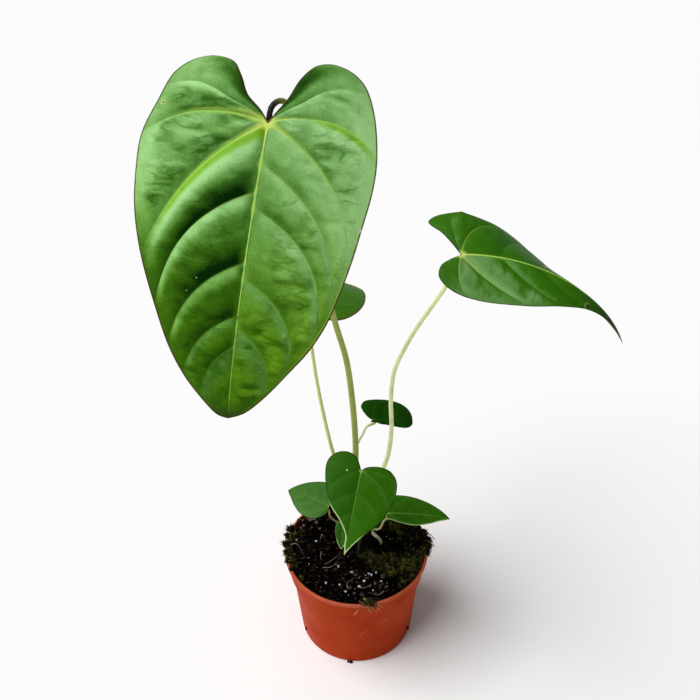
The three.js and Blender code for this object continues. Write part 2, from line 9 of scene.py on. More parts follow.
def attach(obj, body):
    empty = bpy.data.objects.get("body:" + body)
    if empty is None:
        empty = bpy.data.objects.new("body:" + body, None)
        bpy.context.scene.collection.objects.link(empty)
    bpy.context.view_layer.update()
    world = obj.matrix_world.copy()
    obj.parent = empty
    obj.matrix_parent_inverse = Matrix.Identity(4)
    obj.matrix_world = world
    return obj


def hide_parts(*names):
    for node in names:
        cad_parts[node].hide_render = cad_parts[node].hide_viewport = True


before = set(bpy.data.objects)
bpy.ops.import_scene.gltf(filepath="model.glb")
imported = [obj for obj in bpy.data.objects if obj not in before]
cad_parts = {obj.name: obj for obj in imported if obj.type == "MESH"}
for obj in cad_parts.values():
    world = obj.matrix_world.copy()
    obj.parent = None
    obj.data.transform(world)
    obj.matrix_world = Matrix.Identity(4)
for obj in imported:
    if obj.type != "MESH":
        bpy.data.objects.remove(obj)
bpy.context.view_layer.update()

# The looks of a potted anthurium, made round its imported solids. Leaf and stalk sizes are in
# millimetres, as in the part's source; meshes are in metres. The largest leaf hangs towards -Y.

bl_info = {
    "name": "Potted anthurium",
    "version": (1, 0, 0),
    "blender": (4, 5, 0),
    "location": "3D View > Sidebar > Plant",
    "description": "Makes the fine leaves, stalks, peat, moss and pot of a potted anthurium",
    "category": "Object",
}

MM = 0.001

# Stage, in metres and degrees: how far the floor reaches, where the light comes from, and the
# camera as solved from the photograph, with its lens and sensor in millimetres.
FLOOR_REACH = 9
SUN_FROM = (-0.5, -0.12, 0.86)
CAMERA_PLACE = (-0.0035, -0.5385, 0.726)
CAMERA_DOWN = 38.2
CAMERA_ROLL = -0.6
CAMERA_LENS = 50
CAMERA_SENSOR = 36


def display(red, green, blue):
    """A colour as a screen shows it, from 0 to 255, as the linear colour that shaders use."""
    shares = (red / 255, green / 255, blue / 255)
    return tuple(s / 12.92 if s < 0.04045 else ((s + 0.055) / 1.055) ** 2.4 for s in shares)


def shade(colour, factor):
    """A screen colour made darker or lighter, as the linear colour that shaders use."""
    return display(*(min(factor * c, 255) for c in colour))


# Leaf forms, the same as in the part's source, in millimetres and degrees. `at` is where stalk
# and blade meet. The blade points along `azimuth`, `pitch` below level, with its right side
# raised by `roll`. It bends down by `bend` over its `length` and by `hook` more near the tip, its
# lobes, `lobe` long, bend back by `back`, and its sides curve down by `droop` at `reach` from the
# midrib. `fold` raises each half from the midrib: left and right, at the stalk and at the tip.
# Each half is made of rows from the midrib to the edge, numbered from -1 at the lobe's top
# through 0 at the stalk to 1 at the tip. Its `edge` runs from the stalk over the lobe's top,
# which is the edge point `crown`, to the tip. `veins` says which edge point each vein's row runs
# to, and `bows` how far rows bow. Between the veins the blade swells by `pillow`, its lobes' ends
# sink by `roll_back`, and the midrib stands out by `rib` below.
# A stalk's `route` starts in the rootstock. Its radii are `foot`, `middle`, `neck` and, under the
# blade, `knuckle`, and `over` marks the one that arches over between the lobes.
YOUNG_EDGE = [
    (0, 0), (0.1, -0.45), (0.26, -0.85), (0.5, -1), (0.78, -0.72), (0.96, -0.05),
    (1, 0.2), (0.9, 0.42), (0.66, 0.65), (0.38, 0.83), (0.16, 0.94), (0, 1),
]
YOUNG_VEINS = [(-0.45, 5), (0, 7), (0.28, 8), (0.52, 9)]


def young_half(length, width, lobe):
    """One half of a young blade: its edge, the point at the lobe's top, and its veins."""
    edge = [(x * width, y * (lobe if y < 0 else length)) for x, y in YOUNG_EDGE]
    return dict(edge=edge, crown=3, veins=YOUNG_VEINS)


def both(value):
    """The same value for both halves of a blade."""
    return dict(left=value, right=value)


LEAVES = {
    "large": dict(
        at=(-46, -55, 501), azimuth=-106, pitch=48, roll=-10,
        length=172, reach=66, lobe=40,
        bend=30, hook=12, back=18, droop=22, fold=[0, 0, 0, 0],
        pillow=2.6, roll_back=4, rib=1.3,
        left=dict(
            edge=[
                (0, 0), (5.4, -6.4), (14.2, -14.5), (20.2, -26), (28, -36), (44.5, -38.4),
                (59.5, -26.8), (66.8, -5.6), (73.4, 14.9), (73, 37.6), (69.8, 59.1), (61.7, 83.6),
                (48.8, 111.4), (38.6, 132), (28, 148), (16.2, 161.4), (7, 170.3), (0, 172),
            ],
            crown=5,
            bows=[(-1, 0), (-0.5, 0.12), (0, 0.09), (0.225, 0.16), (0.45, 0.14), (1, 0.13)],
            veins=[(-0.5, 8), (0, 11), (0.225, 12), (0.45, 13), (0.62, 14), (0.72, 15)],
        ),
        right=dict(
            edge=[
                (0, 0), (3.3, -6.3), (8.1, -15.8), (12.7, -29.6), (20.3, -40.8), (32.6, -44.2),
                (47, -35.4), (56.3, -17), (62, 7.1), (62.8, 26.3), (60.4, 48), (57.2, 70.7),
                (50.8, 99.5), (42.6, 119.5), (31.2, 137.2), (20, 153.6), (9.6, 166), (0, 172),
            ],
            crown=5,
            bows=[(-1, 0), (-0.5, 0.15), (0, 0.135), (0.135, 0.155), (0.275, 0.2), (1, 0.16)],
            veins=[(-0.5, 8), (0, 11), (0.135, 12), (0.275, 13), (0.5, 14), (0.66, 15)],
        ),
        stalk=dict(
            route=[
                (5, 4, 128), (2, 4, 150), (0, 4, 178), (0, 4, 208), (-2, 0, 252), (-6, -6, 297),
                (-14, -14, 340), (-22, -23, 390), (-29, -32, 440), (-33, -37, 474),
                (-34.5, -38, 494), (-37, -40.5, 505.5), (-41, -44.5, 508), (-44.5, -49, 506),
            ],
            over=True,
            foot=2.7, middle=2.3, neck=1.6, knuckle=1.9,
        ),
    ),
    "pointed": dict(
        at=(70, 0, 380.5), azimuth=-7, pitch=-5, roll=-7,
        length=135, reach=44, lobe=22,
        bend=62, hook=12, back=0, droop=13, fold=[-19, 32, -27, -51],
        pillow=1.4, roll_back=1, rib=1,
        left=dict(
            edge=[
                (0, 0), (3, -7), (8, -13), (17, -14), (27, -8), (35, 4), (37, 25), (31.5, 52),
                (20, 76), (10, 94), (4, 110), (1.3, 126), (0, 135),
            ],
            crown=3,
            veins=[(-0.5, 5), (0, 7), (0.2, 8), (0.4, 9)],
        ),
        right=dict(
            edge=[
                (0, 0), (5, -3), (12, -7.5), (20, -13.5), (26.5, -20.5), (31, -22.5), (35, -17),
                (36.5, -6), (38.5, 10), (41, 27), (38, 48), (28, 72), (15, 93), (6, 110),
                (1.8, 126), (0, 135),
            ],
            crown=5,
            veins=[(-0.5, 7), (0, 9), (0.2, 10), (0.4, 11)],
        ),
        stalk=dict(
            route=[
                (9, 6, 126), (14, 5, 148), (19, 3, 172), (25, 0, 199), (27, -2, 228),
                (26, -3, 258), (28, -3, 285), (35, -3, 306), (43, -3, 324), (51, -2, 338),
                (61, -1, 356), (67, 0, 370),
            ],
            foot=2.1, middle=1.75, neck=1.4, knuckle=1.7,
        ),
    ),
    "shaded": dict(
        at=(-30, 25, 327), azimuth=57, pitch=5, roll=1,
        length=64, reach=31, lobe=12,
        bend=28, hook=15, back=0, droop=12, fold=[0, 0, 0, 0],
        pillow=0.8, roll_back=0, rib=0.6,
        left=young_half(64, 31, 12),
        right=young_half(64, 24.5, 5),
        stalk=dict(
            route=[
                (4, 7, 122), (-4, 9, 141), (-12, 11, 171), (-18, 13, 191), (-24, 17, 224),
                (-27, 19, 244), (-30, 21, 270), (-32, 23.5, 296), (-31.5, 24.5, 315),
            ],
            foot=1.8, middle=1.5, neck=1.2, knuckle=1.45,
        ),
    ),
    "back": dict(
        at=(13.3, 30, 208.3), azimuth=3, pitch=0, roll=6,
        length=33, reach=24, lobe=8,
        bend=14, hook=10, back=0, droop=10, fold=[0, 0, 0, 0],
        pillow=0.5, roll_back=0, rib=0.4,
        left=dict(
            edge=[
                (0, 0), (1.2, -0.8), (2.4, 0.4), (3.4, 4.8), (5, 10.9), (6.9, 18), (7.6, 25.6),
                (5.8, 30), (2.8, 32.4), (0, 33),
            ],
            crown=1,
            veins=[(-0.45, 2), (0, 4), (0.28, 5), (0.52, 6)],
        ),
        right=dict(
            edge=[
                (0, 0), (3.8, -3.3), (11, -6.6), (17.6, -7.5), (22.8, -3.4), (23.7, 7.7),
                (22.3, 17.7), (18.8, 25.7), (13.2, 31), (6.6, 33.2), (0, 33),
            ],
            crown=3,
            veins=[(-0.45, 4), (0, 5), (0.28, 6), (0.52, 7)],
        ),
        stalk=dict(
            route=[
                (6, 8, 118), (3, 15, 134), (0, 20, 158), (1, 26, 183), (6, 28, 195),
                (9.5, 29.5, 202),
            ],
            foot=1.2, middle=1, neck=0.9, knuckle=1.1,
        ),
    ),
    "front": dict(
        at=(4.1, -14, 196.3), azimuth=-105.4, pitch=35.8, roll=-7.8,
        length=64.7, reach=30, lobe=13,
        bend=12, hook=0, back=11, droop=22, fold=[6, 0, 2, 2],
        pillow=0.9, roll_back=0.5, rib=0.6,
        left=dict(
            edge=[
                (0, 0), (3, -5.8), (6.5, -10.4), (13.6, -12.9), (21.9, -10.4), (27.2, -2.9),
                (26.9, 7.7), (22.8, 20.5), (17.4, 30.8), (8.6, 40), (2.2, 49.5), (1.2, 57),
                (0, 64.7),
            ],
            crown=3,
            veins=YOUNG_VEINS,
        ),
        right=dict(
            edge=[
                (0, 0), (3.5, -3.2), (8.9, -5.1), (15.1, -6), (22.4, -4.5), (28.7, 2.3),
                (30.1, 13), (26.7, 26), (21, 37.1), (11.1, 48), (4, 57.5), (0, 64.7),
            ],
            crown=3,
            veins=YOUNG_VEINS,
        ),
        stalk=dict(
            route=[(9, 2, 122), (13, -3, 138), (13, -7, 160), (10, -10, 178), (8, -11, 188)],
            foot=1.5, middle=1.2, neck=1, knuckle=1.25,
        ),
    ),
    "left": dict(
        at=(-21.8, 0, 142.2), azimuth=152, pitch=-9, roll=-9,
        length=39.6, reach=22, lobe=5,
        bend=20, hook=12, back=0, droop=16, fold=[0, 0, 0, 0],
        pillow=0.5, roll_back=0, rib=0.4,
        left=young_half(39.6, 22, 5),
        right=dict(
            edge=[
                (0, 0), (1.6, -1), (4, -1.6), (7.2, -0.8), (11, 1.2), (14.2, 4), (16.6, 9.9),
                (16.2, 18.1), (11.5, 26.5), (6.1, 32.9), (2.5, 37.1), (0, 39.6),
            ],
            crown=3,
            veins=YOUNG_VEINS,
        ),
        stalk=dict(
            route=[
                (2, 4, 119), (-5, 2, 117.5), (-12, 0.5, 120.5), (-18.2, 0, 125.7),
                (-21.4, 0, 130.5), (-21.8, 0, 136),
            ],
            foot=1.1, middle=0.9, neck=0.8, knuckle=1,
        ),
    ),
    "right": dict(
        at=(26.2, 5, 127.4), azimuth=-4, pitch=-4, roll=8,
        length=51.8, reach=20, lobe=3,
        bend=18, hook=8, back=0, droop=14, fold=[0, 0, 0, 0],
        pillow=0.5, roll_back=0, rib=0.4,
        left=dict(
            edge=[
                (0, 0), (1, -1), (2.2, -1.6), (3.6, -1.4), (5, 0), (6.4, 4), (9, 12),
                (10.3, 22.8), (7.8, 34), (3.9, 42.9), (1.6, 48.7), (0, 51.8),
            ],
            crown=3,
            veins=YOUNG_VEINS,
        ),
        right=young_half(51.8, 20, 3),
        stalk=dict(
            route=[(10, 5, 112), (16, 4, 109), (20, 3, 112), (23, 4, 120)],
            foot=1.2, middle=1, neck=0.9, knuckle=1.1,
        ),
    ),
    "newest": dict(
        at=(-11, -8, 129), azimuth=-95, pitch=50, roll=-10,
        length=21, reach=6, lobe=2,
        bend=20, hook=0, back=0, droop=10, fold=[20, 20, 20, 20],
        pillow=0, roll_back=0, rib=0.3,
        **both(young_half(21, 6, 2)),
        stalk=dict(
            route=[(5, 3, 112), (-1, -0.5, 113), (-6, -3.5, 117), (-10, -7, 125)],
            foot=1.1, middle=0.9, neck=0.8, knuckle=0.95,
        ),
    ),
}

# How each leaf looks. Colours are as a screen shows them; widths, heights and distances are in
# millimetres, and shares of a blade's length run from the stalk to the tip.
# `colours` are painted light and shade: they run from the painted shade on the lower side of a
# swelling to the painted light on its crest, the lightest a painted sheen, and `fresh` does so for
# young yellow-green tissue, of which `freshness` is the share near the stalk and near the tip.
# `vein` is the colour of the pale veins, `hub` of the place where they meet, `margin` and
# `pale_margin` of the edge, `tip` of the end from the share `tip_from` on, `under` of the lower
# face and `under_vein` of its ribs.
# `midrib` says how plainly the midrib shows, how wide it is and how far it fades towards the tip,
# and `lines` says the first two for each vein of a half. `rim_line` is a pale line along the
# edge: its first and last row, its share of the way to the edge, how plainly it shows and its
# width. `swell` is a factor on the swellings' height, `wrinkle` the height of the creases,
# `mottled` how much the tone varies, and `spacing` the distance between points of the mesh.
# For each panel between two veins of a half, `depth` is how far painted shade darkens its lower
# side, `lit` how far painted light brightens its swelling, which is as `depth` where it is left
# out, `crest` where that painted light lies, `level` a painted brightening of the whole panel,
# darker where it is below zero, and `creased` how wrinkled it is, with painted shade in the
# creases. `ridge` splits the lobe's first panel. `base` is the painted brightness at the lobe's
# top, at the stalk, halfway and at the tip, `outward` how much the painted light grows towards the
# edge, and `edge_lift` how much painted light brightens the edge itself, both in the blade's upper
# part. `gap` is how dark the painted shade on the side of the gap between the lobes is, and the
# rows where that ends. `bands` are where tissue is fresh: from row to row, and from share to share
# of the way to the edge. `pale` is the share of the length from which each half's margin is pale.
# `scars` are small marks, each with its flat place, radius and colour.
YOUNG_LOOK = dict(
    slot="leaf_deep", colours=[(10, 52, 0), (36, 88, 0), (54, 112, 2), (112, 160, 80)],
    fresh=[(8, 50, 0), (40, 90, 2), (66, 122, 16), (120, 174, 60)], freshness=(0, 0),
    vein=(138, 190, 76), hub=(176, 204, 100), margin=(30, 40, 10), pale_margin=(190, 222, 150),
    tip=(40, 60, 14), tip_from=0.93, under=(112, 142, 80), under_vein=(190, 205, 140),
    roughness=0.45, specular=0.08,
    midrib=(0.5, 0.5, 0.55), lines=both([]), rim_line={}, margin_width=0.35,
    wrinkle=0.3, swell=both(0.5), outward=both(0), mottled=0.5, spacing=0.9, ridge=[],
    depth=both([0.25] * 5), crest={}, lit={}, level={}, creased=both([0] * 5),
    base=both((0, 0, 0, -0.1)), gap=both((0.2, -1, -0.85)), edge_lift=0.1, bands={},
    pale=(2, 2), scars=[],
)
LOOKS = {
    "large": dict(
        YOUNG_LOOK, slot="leaf_light",
        colours=[(0, 34, 0), (50, 98, 24), (106, 158, 80), (168, 220, 144)],
        fresh=[(0, 38, 0), (60, 106, 0), (104, 156, 8), (136, 194, 66)], freshness=(0.1, 0.9),
        vein=(176, 220, 100), hub=(212, 230, 112), margin=(70, 40, 26), under=(128, 158, 92),
        roughness=0.5, specular=0.03, midrib=(1.0, 0.5, 0.55), margin_width=0.8,
        lines=dict(
            left=[(0.55, 2.8), (0.6, 1.9), (0.1, 1.2), (0.1, 1.2)],
            right=[(0.5, 1.1), (0.36, 1.9), (0.14, 2.6), (0.08, 2.2), (0, 2), (0, 2)]),
        rim_line=dict(right=(0.02, 0.6, 0.965, 0.4, 0.55)),
        wrinkle=1.6, swell=dict(left=0.85, right=0.45), outward=dict(left=0.35, right=0.65),
        mottled=0.7, spacing=1.15, ridge=[-0.75],
        depth=dict(
            left=(0.3, 0.75, 0.2, 0.95, 0.72, 0.55, 0.4, 0.1),
            right=(0.3, 0.3, 0.35, 0.35, 0.42, 0.3, 0.18, 0.08)),
        lit=dict(
            left=(0.15, 0.8, 0.2, 1.0, 0.92, 0.68, 0.35, 0.08),
            right=(0.2, 0.2, 0.25, 0.2, 0.22, 0.2, 0.08, 0.02)),
        level=dict(
            left=(0.05, -0.32, 0.1, -0.12, -0.03, -0.08, 0.02, 0.05),
            right=(0, 0, -0.12, 0.16, 0.06, 0.1, 0, 0)),
        crest=dict(left=(0.95, 0.02, 0.1, 0.26, 0.06, 0.06, 0.08, 0.1)),
        creased=dict(
            left=(0.3, 1.1, 1, 0.5, 0.55, 0.5, 0.7, 0.7),
            right=(0.1, 0.6, 1, 0.35, 0.7, 0.85, 0.85, 0.9)),
        base=dict(left=(0.3, 0.42, -0.2, -0.24), right=(0.05, 0.64, 0.26, -0.18)),
        gap=dict(left=(0.95, -0.95, -0.79), right=(1.25, -0.93, -0.82)), edge_lift=0.4,
        bands=dict(left=[(0.0, 0.045, -1, 0.75)], right=[(-0.5, -0.45, 0.4, 0.95)]),
        scars=[
            (-62.3, -5, 2.1, (188, 206, 130)), (-62.1, -4.9, 1.1, (88, 92, 40)),
            (-25.6, 89.2, 0.6, (170, 200, 140)), (-30.5, 97.3, 0.5, (150, 190, 120)),
            (59, 49, 1.6, (186, 204, 160)), (57.5, 56, 1.5, (176, 198, 146)),
        ],
    ),
    "pointed": dict(
        YOUNG_LOOK, colours=[(4, 50, 0), (36, 90, 0), (58, 116, 8), (124, 168, 100)],
        vein=(174, 216, 92), hub=(206, 226, 112), margin=(46, 48, 20), tip=(36, 30, 20),
        under=(76, 116, 40), roughness=0.42, midrib=(1.0, 0.75, 1.0), tip_from=0.62,
        lines=dict(left=[(0.14, 0.9), (0.3, 1.1), (0, 1.2)], right=[(0, 0.7), (0.28, 0.8)]),
        wrinkle=0.5, swell=dict(left=0.4, right=0.35), spacing=1.1,
        depth=dict(left=(0.3, 0.4, 0.4, 0.2, 0.1), right=(0.2, 0.25, 0.2, 0.15, 0.1)),
        creased=dict(left=(0.2, 0.5, 0.6, 0.3, 0.1), right=(0.1, 0.2, 0.2, 0.1, 0)),
        base=dict(left=(0.1, 0.55, 0.2, -0.45), right=(0.15, 0.18, -0.1, -0.5)),
        level=dict(left=(-0.15, 0.12, 0.25, -0.1, -0.1)),
        gap=dict(left=(0.3, -1, -0.85), right=(0.2, -1, -0.85)),
        scars=[(-8.6, 92.5, 3.4, (120, 152, 56)), (-8.4, 93.2, 2.6, (12, 40, 4))],
    ),
    "shaded": dict(
        YOUNG_LOOK, colours=[(20, 66, 0), (46, 98, 10), (72, 126, 20), (120, 168, 80)],
        margin=(84, 48, 40), margin_width=0.8, midrib=(0.3, 0.5, 0.55),
        lines=dict(left=[(0, 0.6), (0.15, 0.6)], right=[(0, 0.6), (0.12, 0.6)]),
        swell=both(0.2), depth=both([0.12] * 5),
        base=dict(left=(0.2, 0.1, 0.1, 0.1), right=(-0.3, -0.3, -0.2, 0)),
    ),
    "back": dict(
        YOUNG_LOOK, colours=[(2, 38, 0), (16, 66, 0), (28, 82, 0), (58, 108, 30)],
        margin=(26, 40, 12), midrib=(0.12, 0.4, 0.55), specular=0.05, mottled=0.3,
    ),
    "front": dict(
        YOUNG_LOOK, midrib=(0.55, 0.45, 1.0), lines=dict(left=[], right=[(0, 0.5), (0.16, 0.6)]),
        margin=(28, 44, 16), pale_margin=(196, 226, 150), margin_width=0.55, mottled=0.4,
        base=dict(left=(0, -0.05, -0.1, -0.1), right=(0.25, 0.3, 0.25, 0.2)),
        depth=both([0.12] * 5), under=(170, 192, 126), pale=(0.5, 0.8),
        scars=[(-10.8, 1.8, 0.9, (206, 228, 176))],
    ),
    "left": dict(
        YOUNG_LOOK, colours=[(22, 68, 8), (54, 102, 30), (76, 126, 48), (122, 166, 104)],
        hub=(150, 176, 90), margin=(40, 62, 30), midrib=(0.3, 0.45, 0.55), specular=0.15,
        depth=both([0.15] * 5), lines=dict(left=[], right=[(0, 1), (0.12, 0.5)]),
    ),
    "right": dict(
        YOUNG_LOOK, colours=[(12, 56, 0), (38, 94, 0), (58, 118, 8), (102, 156, 60)],
        margin=(26, 38, 12), tip=(34, 34, 18), midrib=(0.75, 0.5, 0.55),
        depth=both([0.12] * 5), base=both([0.25] * 4),
        lines=dict(left=[(0, 1), (0.2, 0.5)], right=[(0, 1), (0.12, 0.5)]), pale=(0, 2),
    ),
    "newest": dict(
        YOUNG_LOOK, colours=[(20, 58, 6), (42, 90, 14), (60, 112, 26), (120, 160, 90)],
        tip=(190, 205, 180), margin=(96, 130, 70), spacing=0.7, midrib=(0.3, 0.4, 0.55),
        pale=(0.6, 0.6),
    ),
}

# Stalk colours from the foot, through the middle, to the knuckle under the blade.
STALK_LOOKS = {
    "large": ((170, 178, 88), (164, 174, 80), (30, 20, 32)),
    "pointed": ((242, 250, 168), (246, 254, 184), (190, 162, 104)),
    "shaded": ((222, 230, 148), (220, 228, 146), (180, 180, 116)),
    "back": ((206, 216, 140), (210, 220, 148), (190, 196, 116)),
    "front": ((176, 190, 106), (178, 192, 110), (168, 176, 100)),
    "left": ((150, 132, 84), (168, 150, 96), (176, 170, 104)),
    "right": ((190, 198, 126), (194, 202, 130), (176, 182, 108)),
    "newest": ((186, 190, 126), (190, 196, 132), (180, 190, 120)),
}

# Colours of the pot and of what lies on it, as a screen shows them.
LIP_BLOOM = (196, 112, 84)
SCRATCHED = (214, 124, 92)
SOIL_SPECKS = (46, 30, 22)
# The dark inner rim: partly soil stain, partly painted shade where the peat meets the pot.
SOIL_STAIN_AND_SHADE = (30, 18, 13)
# Two colours for each kind of matter, from the hollows or the foot on.
PEAT_COLOURS = ((1, 1, 1), (9, 6, 5))
PEAT_SPECKS = (84, 66, 54)
PEAT_UNDER_MOSS = (20, 20, 9)
GREEN_MOSS = ((9, 12, 4), (138, 142, 58))
BROWN_MOSS = ((11, 8, 5), (104, 84, 54))
ROOTSTOCK_FOOT = ((20, 19, 10), (9, 8, 5))
ROOTSTOCK_TOP = ((120, 126, 66), (84, 78, 44))
ROOT_FIBRE = ((150, 138, 128), (104, 90, 80))
RIM_FIBRE = ((104, 66, 36), (214, 142, 100))
BARK = ((2, 1, 1), (62, 48, 39))
PERLITE = ((170, 168, 164), (226, 225, 222))
PINK_BARK = ((60, 48, 46), (128, 104, 102))
RED_BARK = ((34, 16, 12), (78, 38, 30))

# The tones of painted light and shade at which a leaf's four colours are reached.
TONE_STOPS = (-1, -0.25, 0.3, 0.95)
# The shares of a blade's length at which `base` gives its painted brightness.
BASE_STOPS = (-0.25, 0, 0.5, 1)
# Where a swelling's painted light lies where a leaf doesn't say, and seeds for the unevenness of
# each half.
PLAIN_CREST = 0.06
HALF_SEEDS = dict(left=11, right=23)

# Blades and stalks, in millimetres, the same as in the part's source. A stalk ends STALK_INSET
# knuckle radii in from the blade's base, and its knuckle is KNUCKLE_LENGTH long.
BLADE_THICKNESS = 0.9
CLEARANCE = 0.35
STALK_INSET = 2.2
KNUCKLE_LENGTH = 9
VEIN_BOWS = [(-1, 0), (0, 0.13), (1, 0.13)]
# The fine blade is a little smaller than its solid and thins towards the edge. Its ribs are
# RIB_WIDTH wide below, and the side ribs SIDE_RIB of the midrib's height.
EDGE_INSET = 0.995
EDGE_HALF_THICKNESS = 0.22
BODY_HALF_THICKNESS = 0.4
UPPER_INSET = 0.06
RIB_WIDTH = 1.6
SIDE_RIB = 0.35
BLADE_SHARP = 55
# The dark part of the stalk that arches over, and the side of the square that a blade's flat map
# covers, with the place of the stalk in it.
ARCH_DARK_LENGTH = 26
FLAT_SPAN = 260
FLAT_CORNER = (130, 60)

# Pot and peat, with the same sizes as in the part's source, and how finely each is drawn.
RIM_RADIUS = 60
POT_HEIGHT = 92
FOOT_RADIUS = 48.2
COLLAR_HEIGHT = 21
COLLAR_STEP = 1.6
LIP_WIDTH = 2.8
LIP_HEIGHT = 3.2
POT_WALL = 1.5
POT_FLOOR = 2
COLLAR_TAPER = 0.8
POT_ROUNDING = 0.9
POT_SHARP = 38
DRAIN_HOLES = 6
DRAIN_RADIUS = 4
DRAIN_RING_RADIUS = 31
DRILL_FOOT = -1
DRILL_TOP = 4
DRILL_SIDES = 32
PEAT_LEVEL = 86.5
PEAT_DOME = 2.2
PEAT_GAP = 0.6
PEAT_FOOT_GAP = 0.5
PEAT_RINGS = 56
PEAT_SIDES = 176
MOSS_CUSHIONS = [(34, 6, 17, 6), (26, 34, 15, 5), (12, -34, 15, 3), (-47, 6, 11, 5)]
ROOTSTOCK_ROUTE = [(9, 5, 62), (9, 5, 88), (8, 5, 108), (6, 5, 131)]
ROOTSTOCK_RADIUS = 6.2
AERIAL_ROOTS = {
    "Aerial_root_right": dict(
        route=[(11, 5, 108), (15, 3, 104), (20, 4, 96), (24, 5, 76)], radius=1.5,
        colours=((224, 226, 186), (190, 188, 146))),
    "Aerial_root_front": dict(
        route=[(6, 3, 110), (3, -3, 104), (2, -5, 96), (2, -5, 76)], radius=1.3,
        colours=((70, 68, 46), (26, 23, 17))),
}

# Roughness of the peat's top: the size and height of its lumps in millimetres, and a seed. Moss
# adds tufts of its own.
PEAT_LUMPS = [(7, 3.4, 1), (2.6, 2.4, 2), (1.2, 1.2, 4)]
MOSS_TUFT_SIZE = 4.6
MOSS_TUFT_HEIGHT = 6.5
# Where the peat heaps up to the rim: the direction in degrees, how wide that is, and how high.
# The heaps rise from HEAP_FOOT to HEAP_TOP away from the middle.
HEAPS = [(180, 34, 4.2), (140, 24, 2.4), (6, 26, 4.4), (60, 40, 2.6), (100, 30, 2.0)]
HEAP_FOOT = 40
HEAP_TOP = 54
# Patches of moss: place and spread in millimetres.
MOSS_PATCHES = [
    (8, -8, 8), (20, -14, 10), (28, -22, 10), (44, -13, 13), (46, -28, 9), (33, 18, 13),
    (39, -37, 5), (52, -18, 7), (52, 10, 8), (26, 38, 13), (-52, 9, 8), (-54, -11, 6),
    (-48, -26, 6), (-12, 44, 12),
]
# Width of a moss leaf in metres, how far it leans, and how long it is on the clods.
MOSS_WIDTH = 0.00036
MOSS_LEAN = 1.0
RIM_MOSS_SHARE = 0.55
# Clods that hang over the rim: rings and sides of each, how flat it is, and their centres and
# radii in millimetres.
CLOD_RINGS = 9
CLOD_SIDES = 14
CLOD_FLATNESS = 0.7
RIM_CLODS = [
    (-55, 20, 92.6, 3.2), (-57, 12, 93, 3.2), (-58, 3, 93.2, 3.4), (-57, -6, 93, 3.2),
    (-55.5, -14, 92.6, 3.0), (-52.5, -22, 92.2, 2.6), (52, 20, 92.8, 3.4), (56, 13, 93.2, 3.8),
    (59.5, 6, 93.4, 3.6), (60, 0, 93, 3.0), (58, -7, 92.6, 2.6), (8.5, -57.5, 92.4, 2.5),
    (5, -57.5, 92.4, 1.9), (12.5, -57.2, 92, 2.2), (14.5, -58.6, 89.5, 1.4),
]
# How ragged a grain is, and how far over the peat's top perlite, chips and fibres lie.
GRAIN_RAGGEDNESS = 1.2
PERLITE_LIFT = 0.7
CHIP_LIFT = 0.9
FIBRE_LIFT = 1.3
# Places on the peat, in millimetres, of what stands out there.
PERLITE_PLACES = [
    (-15, -19), (-14, -36), (2, -39), (6, -35), (12, -30), (16, -28), (20, -35), (6, -51),
    (-34, 9), (-50, 4), (-4, -25), (-25, -33), (-9, -43), (-39, 32), (10, -28), (13, -43),
]
RED_CHIPS = [(-26, 21), (-21, 14), (-16, 1), (-19, 8), (-24, 0), (-27, 14), (-13, -6), (-22, 6)]
PINK_CHIPS = [
    (-50, 30), (-46, 30), (-40, 32), (-34, 28), (-45, 24), (-31, 23), (-47, 22), (-38, 24),
    (-36, 34), (3, -29), (8, -32), (-6, -39), (-2, -45), (4, -47), (10, -40), (15, -37), (19, -39),
    (21, -31), (0, -34), (-11, -31), (24, -40), (-17, -40), (-1, -28),
]
FIBRES = [
    [(-26, -15), (-20, -10), (-13, -5)],
    [(-28, -19), (-21, -18), (-15, -12)],
    [(-7, -41), (-8, -35), (-2, -31)],
    [(1, -40), (6, -42), (12, -38)],
    [(-56, 1), (-50, 0), (-44, -6)],
    [(-29, -3), (-30, -8), (-29, -12)],
    [(-18, -14), (-16, -18), (-13, -21)],
    [(22, -44), (17, -47), (9, -46)],
]
FIBRE_RADIUS = 0.22
RIM_FIBRE_RADIUS = 0.36
# Flat sides round the rootstock, an aerial root and a fibre.
ROOTSTOCK_SIDES = 40
AERIAL_SIDES = 16
FIBRE_SIDES = 7
# Fibres that hang over the rim in front, as points in millimetres.
HANGING_FIBRES = [
    [(6, -57, 94), (3, -60.6, 93), (0.3, -61.4, 87.5), (-2.5, -60.4, 81)],
    [(10, -57, 94), (14.5, -60, 91), (18.5, -59.2, 85)],
    [(2, -57, 94), (6, -59.5, 93.6), (11.5, -59.8, 90), (16, -59, 83)],
    [(12, -57, 93.5), (9, -60, 93.4), (9, -60.8, 89), (11.5, -60.2, 83)],
    [(11, -57, 94), (16, -59.4, 92), (20.5, -58, 87.5)],
    [(57, 5, 95), (62, 1, 96), (66, -2, 93.5)],
    [(58, 12, 96), (63, 8, 97), (66.5, 5, 94)],
]
# Scratches on the pot's front: both ends, across and up, and the width.
POT_SCRATCHES = [
    ((1.3, 39.9), (9.4, 51.2), 0.6), ((13, 56.1), (17, 58.6), 0.45),
    ((19.3, 55.2), (28, 58.2), 0.7), ((24.9, 63.4), (35.3, 66.2), 0.4),
]
# Crumbs that cling to the pot, as points in millimetres.
POT_CRUMBS = [(-44.3, -23.6, 13), (-8, -48.9, 1.3), (-5.5, -49.3, 1.2), (44.2, -23.8, 13)]


def clamp(value, low=0.0, high=1.0):
    return np.clip(value, low, high)


def smoothstep(value, low, high):
    share = clamp((np.asarray(value, float) - low) / (high - low))
    return share * share * (3 - 2 * share)


def lerp(first, second, share):
    return first + (second - first) * share


